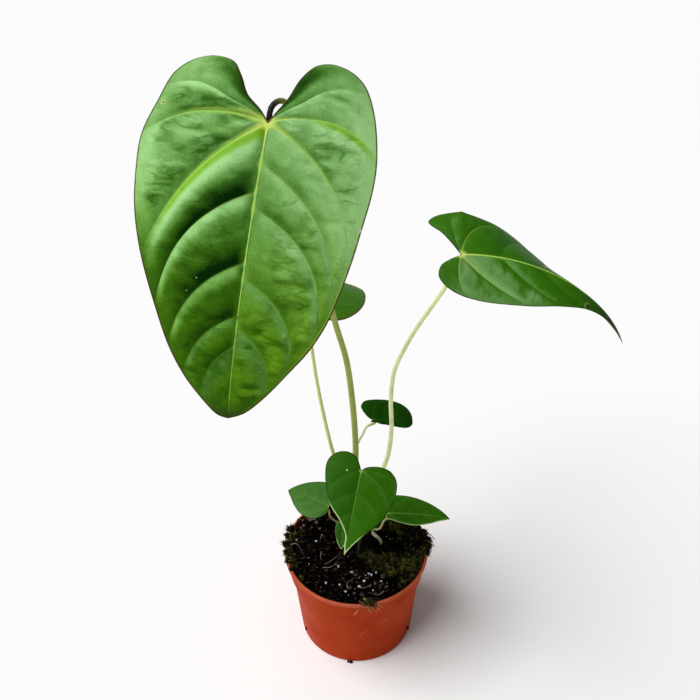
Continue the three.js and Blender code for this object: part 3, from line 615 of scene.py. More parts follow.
def value_noise(x, y, seed):
    """Smooth noise from 0 to 1 over a plane, the same on every run."""
    left, low = np.floor(x), np.floor(y)
    across, up = smoothstep(x - left, 0, 1), smoothstep(y - low, 0, 1)

    def corner(i, j):
        wave = np.sin((left + i) * 127.1 + (low + j) * 311.7 + seed * 74.7) * 43758.5453
        return wave - np.floor(wave)

    return lerp(
        lerp(corner(0, 0), corner(1, 0), across), lerp(corner(0, 1), corner(1, 1), across), up)


# Leaf geometry, by the same formulas as the part's source.
def blade_axes(leaf):
    """Directions along a blade, to its right and up out of its face, where the stalk meets it."""
    azimuth, pitch, roll = (math.radians(leaf[key]) for key in ("azimuth", "pitch", "roll"))
    along = np.array([
        math.cos(azimuth) * math.cos(pitch), math.sin(azimuth) * math.cos(pitch),
        -math.sin(pitch)])
    upward = np.array([
        math.cos(azimuth) * math.sin(pitch), math.sin(azimuth) * math.sin(pitch),
        math.cos(pitch)])
    level = np.cross(upward, along)
    side = level * math.cos(roll) + upward * math.sin(roll)
    face = upward * math.cos(roll) - level * math.sin(roll)
    return along, side, face


def midrib_turn(leaf, y):
    """How far the midrib has turned down at distance y from the stalk, in radians."""
    share = np.maximum(y / leaf["length"], 0)
    down = leaf["bend"] * share + leaf["hook"] * share ** 6
    return np.radians(np.where(y >= 0, down, leaf["back"] * y / leaf["lobe"]))


def blade_points(leaf, x, y, height):
    """Bends places on the flat blade into place: x across, y along the midrib."""
    along, side, face = blade_axes(leaf)
    steps = (np.arange(24) + 0.5) / 24
    turns = midrib_turn(leaf, y[..., None] * steps)
    forward = y * np.cos(turns).mean(-1)
    down = y * np.sin(turns).mean(-1)
    turn = midrib_turn(leaf, y)[..., None]
    local_face = face * np.cos(turn) + along * np.sin(turn)
    towards_tip = clamp(y / leaf["length"]) ** 0.8
    left_base, right_base, left_tip, right_tip = leaf["fold"]
    fold = np.radians(lerp(
        np.where(x < 0, left_base, right_base), np.where(x < 0, left_tip, right_tip),
        towards_tip))
    away = np.abs(x)
    curl = np.maximum(math.radians(leaf["droop"]) * away / leaf["reach"], 1e-6)
    across = away * np.sin(curl) / curl
    sag = away * (1 - np.cos(curl)) / curl
    sideways = np.sign(x) * (across * np.cos(fold) + sag * np.sin(fold))
    raised = across * np.sin(fold) - sag * np.cos(fold)
    return (
        np.array(leaf["at"]) + forward[..., None] * along - down[..., None] * face
        + sideways[..., None] * side + (raised + height)[..., None] * local_face)


def spline(points, share):
    """Smooth curve through points, evenly shared between them, at shares from 0 to 1."""
    points = np.asarray(points, float)
    last = len(points) - 1
    place = np.asarray(share, float) * last
    index = np.minimum(np.floor(place).astype(int), last - 1)
    t = (place - index)[..., None]
    p0, p1 = points[np.maximum(index - 1, 0)], points[index]
    p2, p3 = points[index + 1], points[np.minimum(index + 2, last)]
    v1, v2 = (p2 - p0) / 2, (p3 - p1) / 2
    return (2 * p1 - 2 * p2 + v1 + v2) * t ** 3 + (3 * p2 - 3 * p1 - 2 * v1 - v2) * t * t + (
        v1 * t + p1)


def edge_index(half, rows):
    """The edge point that each row runs to."""
    stop_rows, stop_edges = zip(
        (-1, half["crown"]), *half["veins"], (1, len(half["edge"]) - 1))
    return np.interp(rows, stop_rows, stop_edges)


def flat_rows(leaf, half, rows, columns):
    """Flat places of rows that run from the midrib, or from the stalk below zero, to the edge."""
    edge = np.array(half["edge"], float)
    last = len(edge) - 1
    ends = spline(edge, edge_index(half, rows) / last)
    starts = np.stack([np.zeros_like(rows), np.maximum(rows, 0) * leaf["length"]], -1)
    chord = (ends - starts)[:, None]
    t = columns[None, :, None]
    bow = 4 * t * (1 - t) * np.interp(rows, *zip(*half.get("bows", VEIN_BOWS)))[:, None, None]
    flat = starts[:, None] + chord * t + bow * np.stack([chord[..., 1], -chord[..., 0]], -1)
    lean = spline(edge, half["crown"] * columns / last) - edge[half["crown"]] * columns[:, None]
    return flat + lean[None] * (np.minimum(rows, 0) ** 2)[:, None, None]


def row_values(leaf, side, spacing):
    """Rows close enough for the spacing along the edge, with every vein on a row of its own.
    Both halves share the rows that start on the midrib."""
    def spread(sides, stops):
        rows = []
        for row, next_row in zip(stops, stops[1:]):
            lengths = []
            for half in (leaf[key] for key in sides):
                index = edge_index(half, np.linspace(row, next_row, 24))
                path = spline(half["edge"], index / (len(half["edge"]) - 1))
                lengths.append(np.linalg.norm(np.diff(path, axis=0), axis=1).sum())
            count = max(int(max(lengths) / spacing), 3)
            rows.extend(np.linspace(row, next_row, count, endpoint=False))
        return rows

    in_lobe = {row for row, _ in leaf[side]["veins"] if row < 0}
    on_midrib = {row for key in ("left", "right") for row, _ in leaf[key]["veins"] if row > 0}
    return np.array([
        *spread([side], sorted({-1, 0, *in_lobe})),
        *spread(["left", "right"], sorted({0, 1, *on_midrib})), 1.0])


def way_to(places, line):
    """Shortest way from each flat place to a broken line, and how far along it that lies."""
    start, step = line[:-1], np.diff(line, axis=0)
    share = clamp(((places[:, None] - start) * step).sum(-1) / ((step ** 2).sum(-1) + 1e-12))
    ways = np.sqrt(((places[:, None] - start - share[..., None] * step) ** 2).sum(-1))
    nearest = ways.argmin(1)
    each = np.arange(len(places))
    return ways[each, nearest], (nearest + share[each, nearest]) / len(step)


def between_limits(value, low, high, soft):
    """One between two limits, softly falling to zero outside them."""
    risen = smoothstep(value, low - soft, low + soft)
    return risen * (1 - smoothstep(value, high - soft, high + soft))


def surface(leaf, look, side, rows, columns, flat):
    """Relief above the flat blade, painted light and shade from the shaded to the lit side of a
    swelling, over the blade's parts, in the gap between the lobes and in the creases, and masks for
    fresh tissue and for creases."""
    half, seed = leaf[side], HALF_SEEDS[side]
    stops = np.array(sorted([-1, *look["ridge"], *(row for row, _ in half["veins"]), 1]))
    panel = np.clip(np.searchsorted(stops, rows, side="right") - 1, 0, len(stops) - 2)
    between = clamp((rows - stops[panel]) / (stops[panel + 1] - stops[panel]))[:, None]

    def for_panel(values):
        return np.array(values, float)[panel][:, None]

    t = columns[None]
    x, y = flat[..., 0], flat[..., 1]
    share = y / leaf["length"]
    body = smoothstep(t, 0, 0.2) * (1 - smoothstep(t, 0.8, 0.96))
    swelling = np.sin(np.pi * between ** 0.75) ** 0.8
    rolled = clamp((-0.6 - rows) / 0.4)[:, None] ** 2 * t
    broken = smoothstep(value_noise(x / 11, y / 8, seed + 3), 0.2, 0.6)
    creased = for_panel(look["creased"][side]) * smoothstep(swelling, 0, 0.6) * body * broken
    ripple = value_noise(x / 12, y / 4.2, seed + 5) - 0.5
    flatter = 1 - 0.75 * smoothstep(share, 0.55, 0.85)
    relief = (
        leaf["pillow"] * look["swell"][side] * swelling * body * flatter
        - leaf["roll_back"] * rolled
        - 0.8 * smoothstep(-rows, 0.45, 0.8)[:, None] * t
        + look["wrinkle"] * creased * ripple)
    crest = for_panel(look["crest"].get(side, [PLAIN_CREST] * (len(stops) - 1)))
    uneven = lerp(0.85, 1.1, value_noise(x / 17, y / 17, seed + 7)) * smoothstep(t, 0, 0.08)
    # Painted light along each swelling's crest, and painted shade over its lower side.
    lit = np.exp(-((between - crest) / (0.15 + 0.3 * crest)) ** 2) * (1 - smoothstep(t, 0.78, 1))
    shaded = smoothstep(between, 0.5, 0.95) * (1.1 - 0.9 * smoothstep(t, 0.35, 0.85))
    middles = (stops[1:] + stops[:-1]) / 2
    level = np.interp(rows, middles, look["level"].get(side, np.zeros(len(middles))))[:, None]
    # Painted shade on the side of the gap between the lobes.
    gap_shade, gap_from, gap_to = look["gap"][side]
    in_gap = (1 - smoothstep(rows, gap_from, gap_to))[:, None] * (1 - smoothstep(t, 0.5, 0.97))
    # The painted light and shade of the blade, with random unevenness.
    painted_tone = (
        np.interp(share, BASE_STOPS, look["base"][side]) + level
        + for_panel(look["lit"].get(side, look["depth"][side])) * 0.9 * lit * uneven
        - for_panel(look["depth"][side]) * shaded * uneven
        + look["outward"][side] * (t - 0.4) * (1 - smoothstep(share, 0.25, 0.6))
        - gap_shade * in_gap + 0.9 * creased * ripple
        + look["edge_lift"] * smoothstep(t, 0.72, 0.95) * between_limits(share, 0, 0.35, 0.15))
    # Fresh tissue gives way under the painted light, whose lightest colour is a painted sheen.
    fresh = lerp(*look["freshness"], smoothstep(share, 0.1, 0.8)) * (1 - 0.7 * lit)
    for first, last, inner, outer in look["bands"].get(side, []):
        fresh = np.maximum(fresh, between_limits(rows, first, last, 0.012)[:, None]
                           * between_limits(t, inner, outer, 0.15))
    return relief, painted_tone, fresh, creased


def vein_lines(leaf, look, side, sign):
    """What shows as a pale line on one half: its flat path, how plainly, its width, its fading."""
    half = leaf[side]
    lines = []
    shown = look["lines"][side] + [(0, 0.6)] * len(half["veins"])
    for (row, _), (plainly, width) in zip(half["veins"], shown):
        path = flat_rows(leaf, half, np.array([float(row)]), np.linspace(0, 0.93, 40))[0]
        lines.append((path * (sign, 1), plainly, width, 0.9))
    if side in look["rim_line"]:
        first, last, share, plainly, width = look["rim_line"][side]
        path = flat_rows(leaf, half, np.linspace(first, last, 40), np.array([share]))[:, 0]
        lines.append((path * (sign, 1), plainly, width, 0.5))
    return lines


def flat_blade(leaf, look):
    """A blade laid flat: its points, their surface values, its triangles, its outlines, and what
    shows on it as a pale line."""
    reach = max(x for x, _ in leaf["left"]["edge"] + leaf["right"]["edge"])
    columns = np.linspace(0, 1, max(int(reach / look["spacing"]), 10))
    lines = [(np.array([(0, 0), (0, leaf["length"])], float), *look["midrib"])]
    places, values, corners, outlines = [], [], [], []
    count = 0
    for sign, side in ((-1, "left"), (1, "right")):
        rows = row_values(leaf, side, look["spacing"])
        flat = flat_rows(leaf, leaf[side], rows, columns)
        values.append(np.stack(surface(leaf, look, side, rows, columns, flat), -1).reshape(-1, 4))
        flat = flat * (sign, 1)
        places.append(flat.reshape(-1, 2))
        outlines += [flat[::2, -1], flat[0, ::2]]
        lines += vein_lines(leaf, look, side, sign)
        index = count + np.arange(len(rows) * len(columns)).reshape(len(rows), -1)
        count += index.size
        a, b, d, e = index[:-1, :-1], index[1:, :-1], index[1:, 1:], index[:-1, 1:]
        parts = [np.stack(corner, -1).reshape(-1, 3) for corner in ((a, b, d), (a, d, e))]
        corners.append(np.concatenate(parts)[:, ::sign])
    flat = np.concatenate(places)
    _, kept, merged = np.unique(
        np.round(flat, 4), axis=0, return_index=True, return_inverse=True)
    corners = merged.reshape(-1)[np.concatenate(corners)]
    corners = corners[(corners != np.roll(corners, 1, axis=1)).all(1)]
    return flat[kept], np.concatenate(values)[kept].T, corners, outlines, lines


def line_masks(flat, lines):
    """How many line widths each place is from the nearest pale line, and how plainly it shows."""
    vein, glow = np.full(len(flat), 99.0), np.zeros(len(flat))
    for path, plainly, width, fading in lines:
        way, along = way_to(flat, path)
        near = way / (width * (1 - 0.5 * along))
        glow = np.where(near < vein, plainly * (1 - fading * smoothstep(along, 0.4, 1)), glow)
        vein = np.minimum(near, vein)
    return vein, glow


def point_normals(points, corners):
    p, q, r = (points[corners[:, i]] for i in range(3))
    normals = np.zeros_like(points)
    for i in range(3):
        np.add.at(normals, corners[:, i], np.cross(q - p, r - p))
    return normals / (np.linalg.norm(normals, axis=1)[:, None] + 1e-12)


def blade_mesh(name, leaf, look):
    """A fine blade with its upper and lower faces, closed at the edge."""
    flat, (relief, painted_tone, fresh, creased), corners, outlines, lines = flat_blade(leaf, look)
    count = len(flat)
    vein, glow = line_masks(flat, lines)
    rim = np.min([way_to(flat, line)[0] for line in outlines], axis=0)
    share = clamp(flat[:, 1] / leaf["length"])
    middle = blade_points(leaf, *(flat * EDGE_INSET).T, relief)
    normals = point_normals(middle, corners)
    half_thickness = lerp(EDGE_HALF_THICKNESS, BODY_HALF_THICKNESS, smoothstep(rim, 0, 4))
    rib = leaf["rib"] * (1 - share) * np.exp(-(flat[:, 0] / RIB_WIDTH) ** 2)
    side_rib = SIDE_RIB * leaf["rib"] * np.exp(-(vein * 0.8) ** 2) * smoothstep(rim, 0, 8)
    lower_rib = np.maximum(rib, side_rib) * (flat[:, 1] > -2)
    upper = middle + normals * (half_thickness - UPPER_INSET)[:, None]
    lower = middle - normals * (half_thickness + lower_rib)[:, None]
    pairs = np.concatenate([corners[:, [0, 1]], corners[:, [1, 2]], corners[:, [2, 0]]])
    outer = pairs[~np.isin(pairs @ (count, 1), pairs @ (1, count))]
    walls = np.stack([outer[:, 0], outer[:, 0] + count, outer[:, 1] + count, outer[:, 1]], -1)
    mesh = bpy.data.meshes.new(name)
    mesh.from_pydata(
        (np.concatenate([upper, lower]) * MM).tolist(), [],
        [*corners.tolist(), *(corners[:, ::-1] + count).tolist(), *walls.tolist()])
    pale_from = np.where(flat[:, 0] < 0, *look["pale"])
    # The painted light and shade go to the material among the masks.
    masks = dict(
        vein=vein, glow=glow, rim=rim, painted_tone=painted_tone, fresh=fresh, creased=creased,
        pale=smoothstep(share, pale_from - 0.12, pale_from + 0.02))
    for label, each in masks.items():
        store(mesh, label, np.tile(each, 2))
    store(mesh, "under", np.repeat([0, 1], count))
    store_flat(mesh, np.tile((flat + FLAT_CORNER) / FLAT_SPAN, (2, 1)))
    smooth_but_for(mesh, BLADE_SHARP)
    return mesh


def store(mesh, name, values):
    """Keeps a number for each point of a mesh, for its material or its trees."""
    attribute = mesh.attributes.new(name, "FLOAT", "POINT")
    attribute.data.foreach_set("value", np.asarray(values, np.float32))


def store_flat(mesh, places):
    """Keeps each point's flat place as a UV map."""
    loops = np.zeros(len(mesh.loops), np.int32)
    mesh.loops.foreach_get("vertex_index", loops)
    layer = mesh.uv_layers.new(name="Flat")
    layer.uv.foreach_set("vector", places[loops].astype(np.float32).ravel())


def stalk_route(leaf):
    """A stalk's way from the rootstock to just under the blade."""
    along, _, face = blade_axes(leaf)
    stalk = leaf["stalk"]
    knuckle = stalk["knuckle"]
    over = stalk.get("over", False)
    below = BLADE_THICKNESS / 2 + leaf["rib"] + CLEARANCE + (knuckle if over else 0)
    end = blade_points(
        leaf, np.array([0.0]), np.array([STALK_INSET * knuckle]), np.array([-below]))[0]
    approach = end - along * 1.6 * knuckle if over else end - face * 2.4 * knuckle
    return np.array([*stalk["route"], approach, end], float)


def smooth_path(points, spacing):
    """Centripetal smooth curve through points, sampled about every `spacing`."""
    points = np.asarray(points, float)
    padded = np.array([2 * points[0] - points[1], *points, 2 * points[-1] - points[-2]])
    path = []
    for i in range(len(points) - 1):
        p0, p1, p2, p3 = padded[i:i + 4]
        d0, d1, d2 = (max(np.linalg.norm(b - a) ** 0.5, 1e-4)
                      for a, b in ((p0, p1), (p1, p2), (p2, p3)))
        m1 = ((p1 - p0) / d0 - (p2 - p0) / (d0 + d1) + (p2 - p1) / d1) * d1
        m2 = ((p2 - p1) / d1 - (p3 - p1) / (d1 + d2) + (p3 - p2) / d2) * d1
        steps = max(int(np.linalg.norm(p2 - p1) / spacing), 2)
        for t in np.arange(steps) / steps:
            path.append(
                p1 + m1 * t + (3 * p2 - 3 * p1 - 2 * m1 - m2) * t * t
                + (2 * p1 - 2 * p2 + m1 + m2) * t ** 3)
    return np.array([*path, points[-1]])


def stalk_radii(leaf, path):
    """The stalk's radius at each point of its path."""
    stalk = leaf["stalk"]
    steps = np.linalg.norm(np.diff(path, axis=0), axis=1)
    way = np.concatenate([[0], np.cumsum(steps)])
    share = way / way[-1]
    lower = lerp(stalk["foot"], stalk["middle"], smoothstep(share, 0, 0.25))
    upper = lerp(stalk["middle"], stalk["neck"], (share - 0.25) / 0.75)
    plain = np.where(share < 0.25, lower, upper)
    to_blade = way[-1] - way
    return lerp(
        stalk["knuckle"], plain, smoothstep(to_blade, KNUCKLE_LENGTH * 0.6, KNUCKLE_LENGTH))


# Objects and meshes.
def add_object(name, data):
    thing = bpy.data.objects.new(name, data)
    bpy.context.scene.collection.objects.link(thing)
    return thing


def finish_piece(piece, slot, *nodes, material=None):
    """Gives a piece its body and any material, and hides the nodes it stands for. Its slot is not
    used.
    """
    if material is not None:
        piece.data.materials.clear()
        piece.data.materials.append(material)
    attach(piece, "root")
    if nodes:
        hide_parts(*nodes)


def smooth_but_for(mesh, angle):
    """Shades a mesh smooth, apart from edges sharper than an angle in degrees."""
    mesh.shade_smooth()
    mesh.set_sharp_from_angle(angle=math.radians(angle))


def evaluated_mesh(piece):
    """A plain mesh of what a piece's modifiers make."""
    depsgraph = bpy.context.evaluated_depsgraph_get()
    return bpy.data.meshes.new_from_object(piece.evaluated_get(depsgraph), depsgraph=depsgraph)


def paths_object(name, paths, radii):
    """Loose broken lines as one mesh, each point with its radius."""
    points, edges = [], []
    for path in paths:
        start = len(points)
        points.extend(map(tuple, np.asarray(path) * MM))
        edges.extend((start + i, start + i + 1) for i in range(len(path) - 1))
    mesh = bpy.data.meshes.new(name)
    mesh.from_pydata(points, edges, [])
    store(mesh, "radius_here", np.concatenate(radii) * MM)
    return add_object(name, mesh)


def turned_mesh(name, outline, sides):
    """A body of revolution from an outline of radius and height that starts and ends on Z."""
    angles = np.linspace(0, 2 * np.pi, sides, endpoint=False)
    points = [(0, 0, outline[0][1])]
    for radius, height in outline[1:-1]:
        points.extend(zip(radius * np.cos(angles), radius * np.sin(angles), [height] * sides))
    points.append((0, 0, outline[-1][1]))
    rings = len(outline) - 2
    faces = []
    for s in range(sides):
        n = (s + 1) % sides
        faces.append((0, 1 + n, 1 + s))
        for i in range(rings - 1):
            a, b = 1 + i * sides, 1 + (i + 1) * sides
            faces.append((a + s, a + n, b + n, b + s))
        a = 1 + (rings - 1) * sides
        faces.append((len(points) - 1, a + s, a + n))
    mesh = bpy.data.meshes.new(name)
    mesh.from_pydata((np.array(points) * MM).tolist(), [], faces)
    return mesh


def rounded(outline, radius):
    """An outline with its inner corners rounded."""
    points = [np.array(p, float) for p in outline]
    result = [points[0]]
    for before, here, after in zip(points, points[1:], points[2:]):
        reach_in = min(radius, np.linalg.norm(here - before) * 0.45)
        reach_out = min(radius, np.linalg.norm(after - here) * 0.45)
        start = here + (before - here) / np.linalg.norm(before - here) * reach_in
        end = here + (after - here) / np.linalg.norm(after - here) * reach_out
        for t in np.linspace(0, 1, 4):
            result.append(start * (1 - t) ** 2 + here * 2 * t * (1 - t) + end * t * t)
    return [tuple(p) for p in [*result, points[-1]]]


def peat_height(x, y):
    """Height of the peat's top, with its moss cushions, heaps and crumbs."""
    away, direction = np.hypot(x, y), np.degrees(np.arctan2(y, x))
    dome = PEAT_DOME * (1 - (away / RIM_RADIUS) ** 2)
    rough = sum(
        (value_noise(x / size, y / size, seed) - 0.5) * height
        for size, height, seed in PEAT_LUMPS)
    cushions = sum(
        height * np.exp(-((x - cx) ** 2 + (y - cy) ** 2) / spread ** 2)
        for cx, cy, spread, height in MOSS_CUSHIONS)
    heaped = sum(
        height * np.exp(-(((direction - middle + 180) % 360 - 180) / spread) ** 2)
        for middle, spread, height in HEAPS)
    lumps = value_noise(x / MOSS_TUFT_SIZE, y / MOSS_TUFT_SIZE, 6) - 0.5
    tufts = MOSS_TUFT_HEIGHT * lumps * moss_share(x, y)
    heaped = heaped * smoothstep(away, HEAP_FOOT, HEAP_TOP)
    return PEAT_LEVEL + dome + cushions + rough + tufts + heaped


def moss_share(x, y):
    """How much of the peat is under moss, from 0 to 1."""
    near = sum(
        np.exp(-(((x - cx) ** 2 + (y - cy) ** 2) / spread ** 2) ** 1.5)
        for cx, cy, spread in MOSS_PATCHES)
    ragged = value_noise(x / 4, y / 4, 9) * 0.7 + value_noise(x / 1.6, y / 1.6, 8) * 0.35
    return smoothstep(near - ragged, 0.05, 0.55)


# Node trees.
class Nodes:
    """Short ways to write one node tree."""

    def __init__(self, tree):
        self.tree = tree

    def node(self, kind, inputs=None, **settings):
        node = self.tree.nodes.new(kind)
        for key, value in settings.items():
            setattr(node, key, value)
        for key, value in (inputs or {}).items():
            self.feed(node.inputs[key], value)
        return node

    def feed(self, socket, value):
        if isinstance(value, bpy.types.NodeSocket):
            self.tree.links.new(value, socket)
        elif socket.type == "RGBA":
            socket.default_value = (*value[:3], 1)
        else:
            socket.default_value = value

    def math(self, operation, *values):
        return self.node("ShaderNodeMath", dict(enumerate(values)), operation=operation).outputs[0]

    def times(self, first, *others):
        for other in others:
            first = self.math("MULTIPLY", first, other)
        return first

    def vector(self, operation, first, second):
        return self.node(
            "ShaderNodeVectorMath", {0: first, 1: second}, operation=operation).outputs[0]

    def xyz(self, x, y, z):
        return self.node("ShaderNodeCombineXYZ", {0: x, 1: y, 2: z}).outputs[0]

    def part(self, vector, axis):
        """One coordinate of a vector."""
        return self.node("ShaderNodeSeparateXYZ", {0: vector}).outputs[axis]

    def away(self, place, point=(0, 0, 0)):
        """How far a place is from a point."""
        return self.node(
            "ShaderNodeVectorMath", {0: place, 1: point}, operation="DISTANCE").outputs[1]

    def ramp(self, value, low, high, start=0.0, end=1.0):
        """A smooth step of a value between two limits."""
        return self.node("ShaderNodeMapRange", {
            "Value": value, "From Min": low, "From Max": high, "To Min": start, "To Max": end,
        }, interpolation_type="SMOOTHSTEP").outputs[0]

    def mix(self, share, first, second):
        return self.node(
            "ShaderNodeMix", {0: share, 6: first, 7: second}, data_type="RGBA").outputs[2]

    def colours(self, value, colours):
        """A colour from painted shade to painted light, for a painted brightness from -1 to 1."""
        colour = display(*colours[0])
        for low, high, after in zip(TONE_STOPS, TONE_STOPS[1:], colours[1:]):
            share = self.node("ShaderNodeMapRange", {
                "Value": value, "From Min": low, "From Max": high}).outputs[0]
            colour = self.mix(share, colour, display(*after))
        return colour

    def noise(self, place, scale, detail=2.0, roughness=0.5):
        return self.node("ShaderNodeTexNoise", {
            "Vector": place, "Scale": scale, "Detail": detail, "Roughness": roughness}).outputs[0]

    def attribute(self, name):
        return self.node("ShaderNodeAttribute", attribute_name=name).outputs["Fac"]

    def stretched(self, place, scale, shift=(0, 0, 0)):
        """A pattern's place, stretched and moved by a Mapping node."""
        return self.node("ShaderNodeMapping", {
            "Vector": place, "Location": shift, "Scale": scale}).outputs[0]

    def group(self, group, **inputs):
        node = self.node("ShaderNodeGroup", node_tree=group)
        for label, value in inputs.items():
            self.feed(node.inputs[label.replace("_", " ")], value)
        return node.outputs


# Geometry node trees.
def geometry_tree(name, **inputs):
    """A geometry node tree with named inputs; returns the tree, its nodes, and both ends."""
    tree = bpy.data.node_groups.new(name, "GeometryNodeTree")
    tree.interface.new_socket("Geometry", in_out="INPUT", socket_type="NodeSocketGeometry")
    for label, (kind, value) in inputs.items():
        socket = tree.interface.new_socket(
            label.replace("_", " "), in_out="INPUT", socket_type=f"NodeSocket{kind}")
        if value is not None:
            socket.default_value = value
    tree.interface.new_socket("Geometry", in_out="OUTPUT", socket_type="NodeSocketGeometry")
    nodes = Nodes(tree)
    start = nodes.node("NodeGroupInput").outputs
    end = nodes.node("NodeGroupOutput").inputs[0]
    return tree, nodes, start, end


def run_tree(name, base, tree, **values):
    """Runs a tree on a base object, which then goes, and gives its result as a plain mesh."""
    modifier = base.modifiers.new(tree.name, "NODES")
    modifier.node_group = tree
    identifiers = {
        item.name: item.identifier for item in tree.interface.items_tree
        if item.item_type == "SOCKET" and item.in_out == "INPUT"}
    for label, value in values.items():
        modifier[identifiers[label.replace("_", " ")]] = value
    mesh = evaluated_mesh(base)
    base.modifiers.remove(modifier)
    bpy.data.objects.remove(base)
    return add_object(name, mesh)


def random_value(nodes, low, high, seed):
    """A random number, or a random vector where the limits are vectors, for each instance."""
    is_vector = isinstance(low, (tuple, bpy.types.NodeSocket))
    kind, first, output = ("FLOAT_VECTOR", 0, 0) if is_vector else ("FLOAT", 2, 1)
    return nodes.node("FunctionNodeRandomValue", {
        first: low, first + 1: high, 8: seed}, data_type=kind).outputs[output]


def named(nodes, name):
    return nodes.node(
        "GeometryNodeInputNamedAttribute", {"Name": name}, data_type="FLOAT").outputs[0]


def marked(nodes, geometry, name, value, domain="POINT"):
    """Keeps a number for each point or instance under a name."""
    return nodes.node("GeometryNodeStoreNamedAttribute", {
        "Geometry": geometry, "Name": name, "Value": value},
        data_type="FLOAT", domain=domain).outputs[0]


def close_tree(nodes, geometry, material, end, smooth):
    """Realizes instances, sets the material and ends the tree."""
    plain = nodes.node("GeometryNodeRealizeInstances", {"Geometry": geometry}).outputs[0]
    shaded = nodes.node("GeometryNodeSetShadeSmooth", {
        "Geometry": plain, "Shade Smooth": smooth}).outputs[0]
    nodes.feed(end, nodes.node("GeometryNodeSetMaterial", {
        "Geometry": shaded, "Material": material}).outputs[0])


def tube_tree():
    """Round tubes along paths, as thick as each path's points say."""
    tree, nodes, start, end = geometry_tree(
        "Tubes along paths", Sides=("Int", 12), Spacing=("Float", 0.002),
        Material=("Material", None))
    curve = nodes.node("GeometryNodeMeshToCurve", {"Mesh": start["Geometry"]}).outputs[0]
    even = nodes.node("GeometryNodeResampleCurve", {
        "Curve": curve, "Length": start["Spacing"]}, mode="LENGTH").outputs[0]
    share = nodes.node("GeometryNodeSplineParameter").outputs["Factor"]
    circle = nodes.node("GeometryNodeCurvePrimitiveCircle", {
        "Resolution": start["Sides"], "Radius": 1.0}).outputs[0]
    tube = nodes.node("GeometryNodeCurveToMesh", {
        "Curve": marked(nodes, even, "along", share), "Profile Curve": circle,
        "Scale": named(nodes, "radius_here"), "Fill Caps": True}).outputs[0]
    close_tree(nodes, tube, start["Material"], end, True)
    return tree


def scatter_points(nodes, start):
    """Points over a surface, as dense as the attribute named by Mask says, and how it lies."""
    found = nodes.node("GeometryNodeDistributePointsOnFaces", {
        "Mesh": start["Geometry"], "Seed": start["Seed"],
        "Density": nodes.times(named(nodes, start["Mask"]), start["Density"])}).outputs
    return found["Points"], found["Rotation"]


def turned_about(nodes, rotation, lean, seed):
    """A rotation with a random lean and any turn about its own axis."""
    back = nodes.times(lean, -1.0)
    random = random_value(
        nodes, nodes.xyz(back, back, 0.0), nodes.xyz(lean, lean, 2 * math.pi), seed)
    by = nodes.node("FunctionNodeEulerToRotation", {"Euler": random}).outputs[0]
    return nodes.node("FunctionNodeRotateRotation", {
        "Rotation": rotation, "Rotate By": by}, rotation_space="LOCAL").outputs[0]


def strew(nodes, start, end, points, rotation, instance, size):
    """Puts an instance on each point, gives each a tone of its own and ends the tree."""
    placed = nodes.node("GeometryNodeInstanceOnPoints", {
        "Points": points, "Instance": instance, "Rotation": rotation, "Scale": size}).outputs[0]
    toned = marked(nodes, placed, "grain_tone", random_value(nodes, 0.0, 1.0, 5), "INSTANCE")
    close_tree(nodes, toned, start["Material"], end, False)


def strew_grains(nodes, start, end, points, rotation):
    """Ragged grains on points, each of its own size, lie and tone."""
    ball = nodes.node("GeometryNodeMeshIcoSphere", {
        "Radius": 0.5, "Subdivisions": start["Detail"]}).outputs[0]
    bumps = nodes.node("ShaderNodeTexNoise", {"Scale": 2.3, "Detail": 1.0}).outputs["Color"]
    push = nodes.node("ShaderNodeVectorMath", {
        0: nodes.vector("SUBTRACT", bumps, (0.5, 0.5, 0.5)), "Scale": GRAIN_RAGGEDNESS},
        operation="SCALE").outputs[0]
    ragged = nodes.node("GeometryNodeSetPosition", {"Geometry": ball, "Offset": push}).outputs[0]
    limits = (
        nodes.xyz(width, width, nodes.times(width, start["Flatness"]))
        for width in (start["Smallest"], start["Largest"]))
    strew(nodes, start, end, points, rotation, ragged, random_value(nodes, *limits, 3))


GRAIN_INPUTS = dict(
    Smallest=("Float", 0.001), Largest=("Float", 0.003), Flatness=("Float", 0.6),
    Detail=("Int", 2), Material=("Material", None))


def scattered_tree():
    """Grains scattered over a surface where a mask lets them."""
    tree, nodes, start, end = geometry_tree(
        "Scattered grains", Density=("Float", 1000.0), Mask=("String", "bare"), Seed=("Int", 1),
        **GRAIN_INPUTS)
    points, rotation = scatter_points(nodes, start)
    strew_grains(nodes, start, end, points, turned_about(nodes, rotation, 0.7, 7))
    return tree


def placed_tree():
    """Grains at the points of a mesh."""
    tree, nodes, start, end = geometry_tree("Placed grains", **GRAIN_INPUTS)
    level = nodes.node("FunctionNodeEulerToRotation", {"Euler": (0, 0, 0)}).outputs[0]
    strew_grains(nodes, start, end, start["Geometry"], turned_about(nodes, level, 0.6, 2))
    return tree


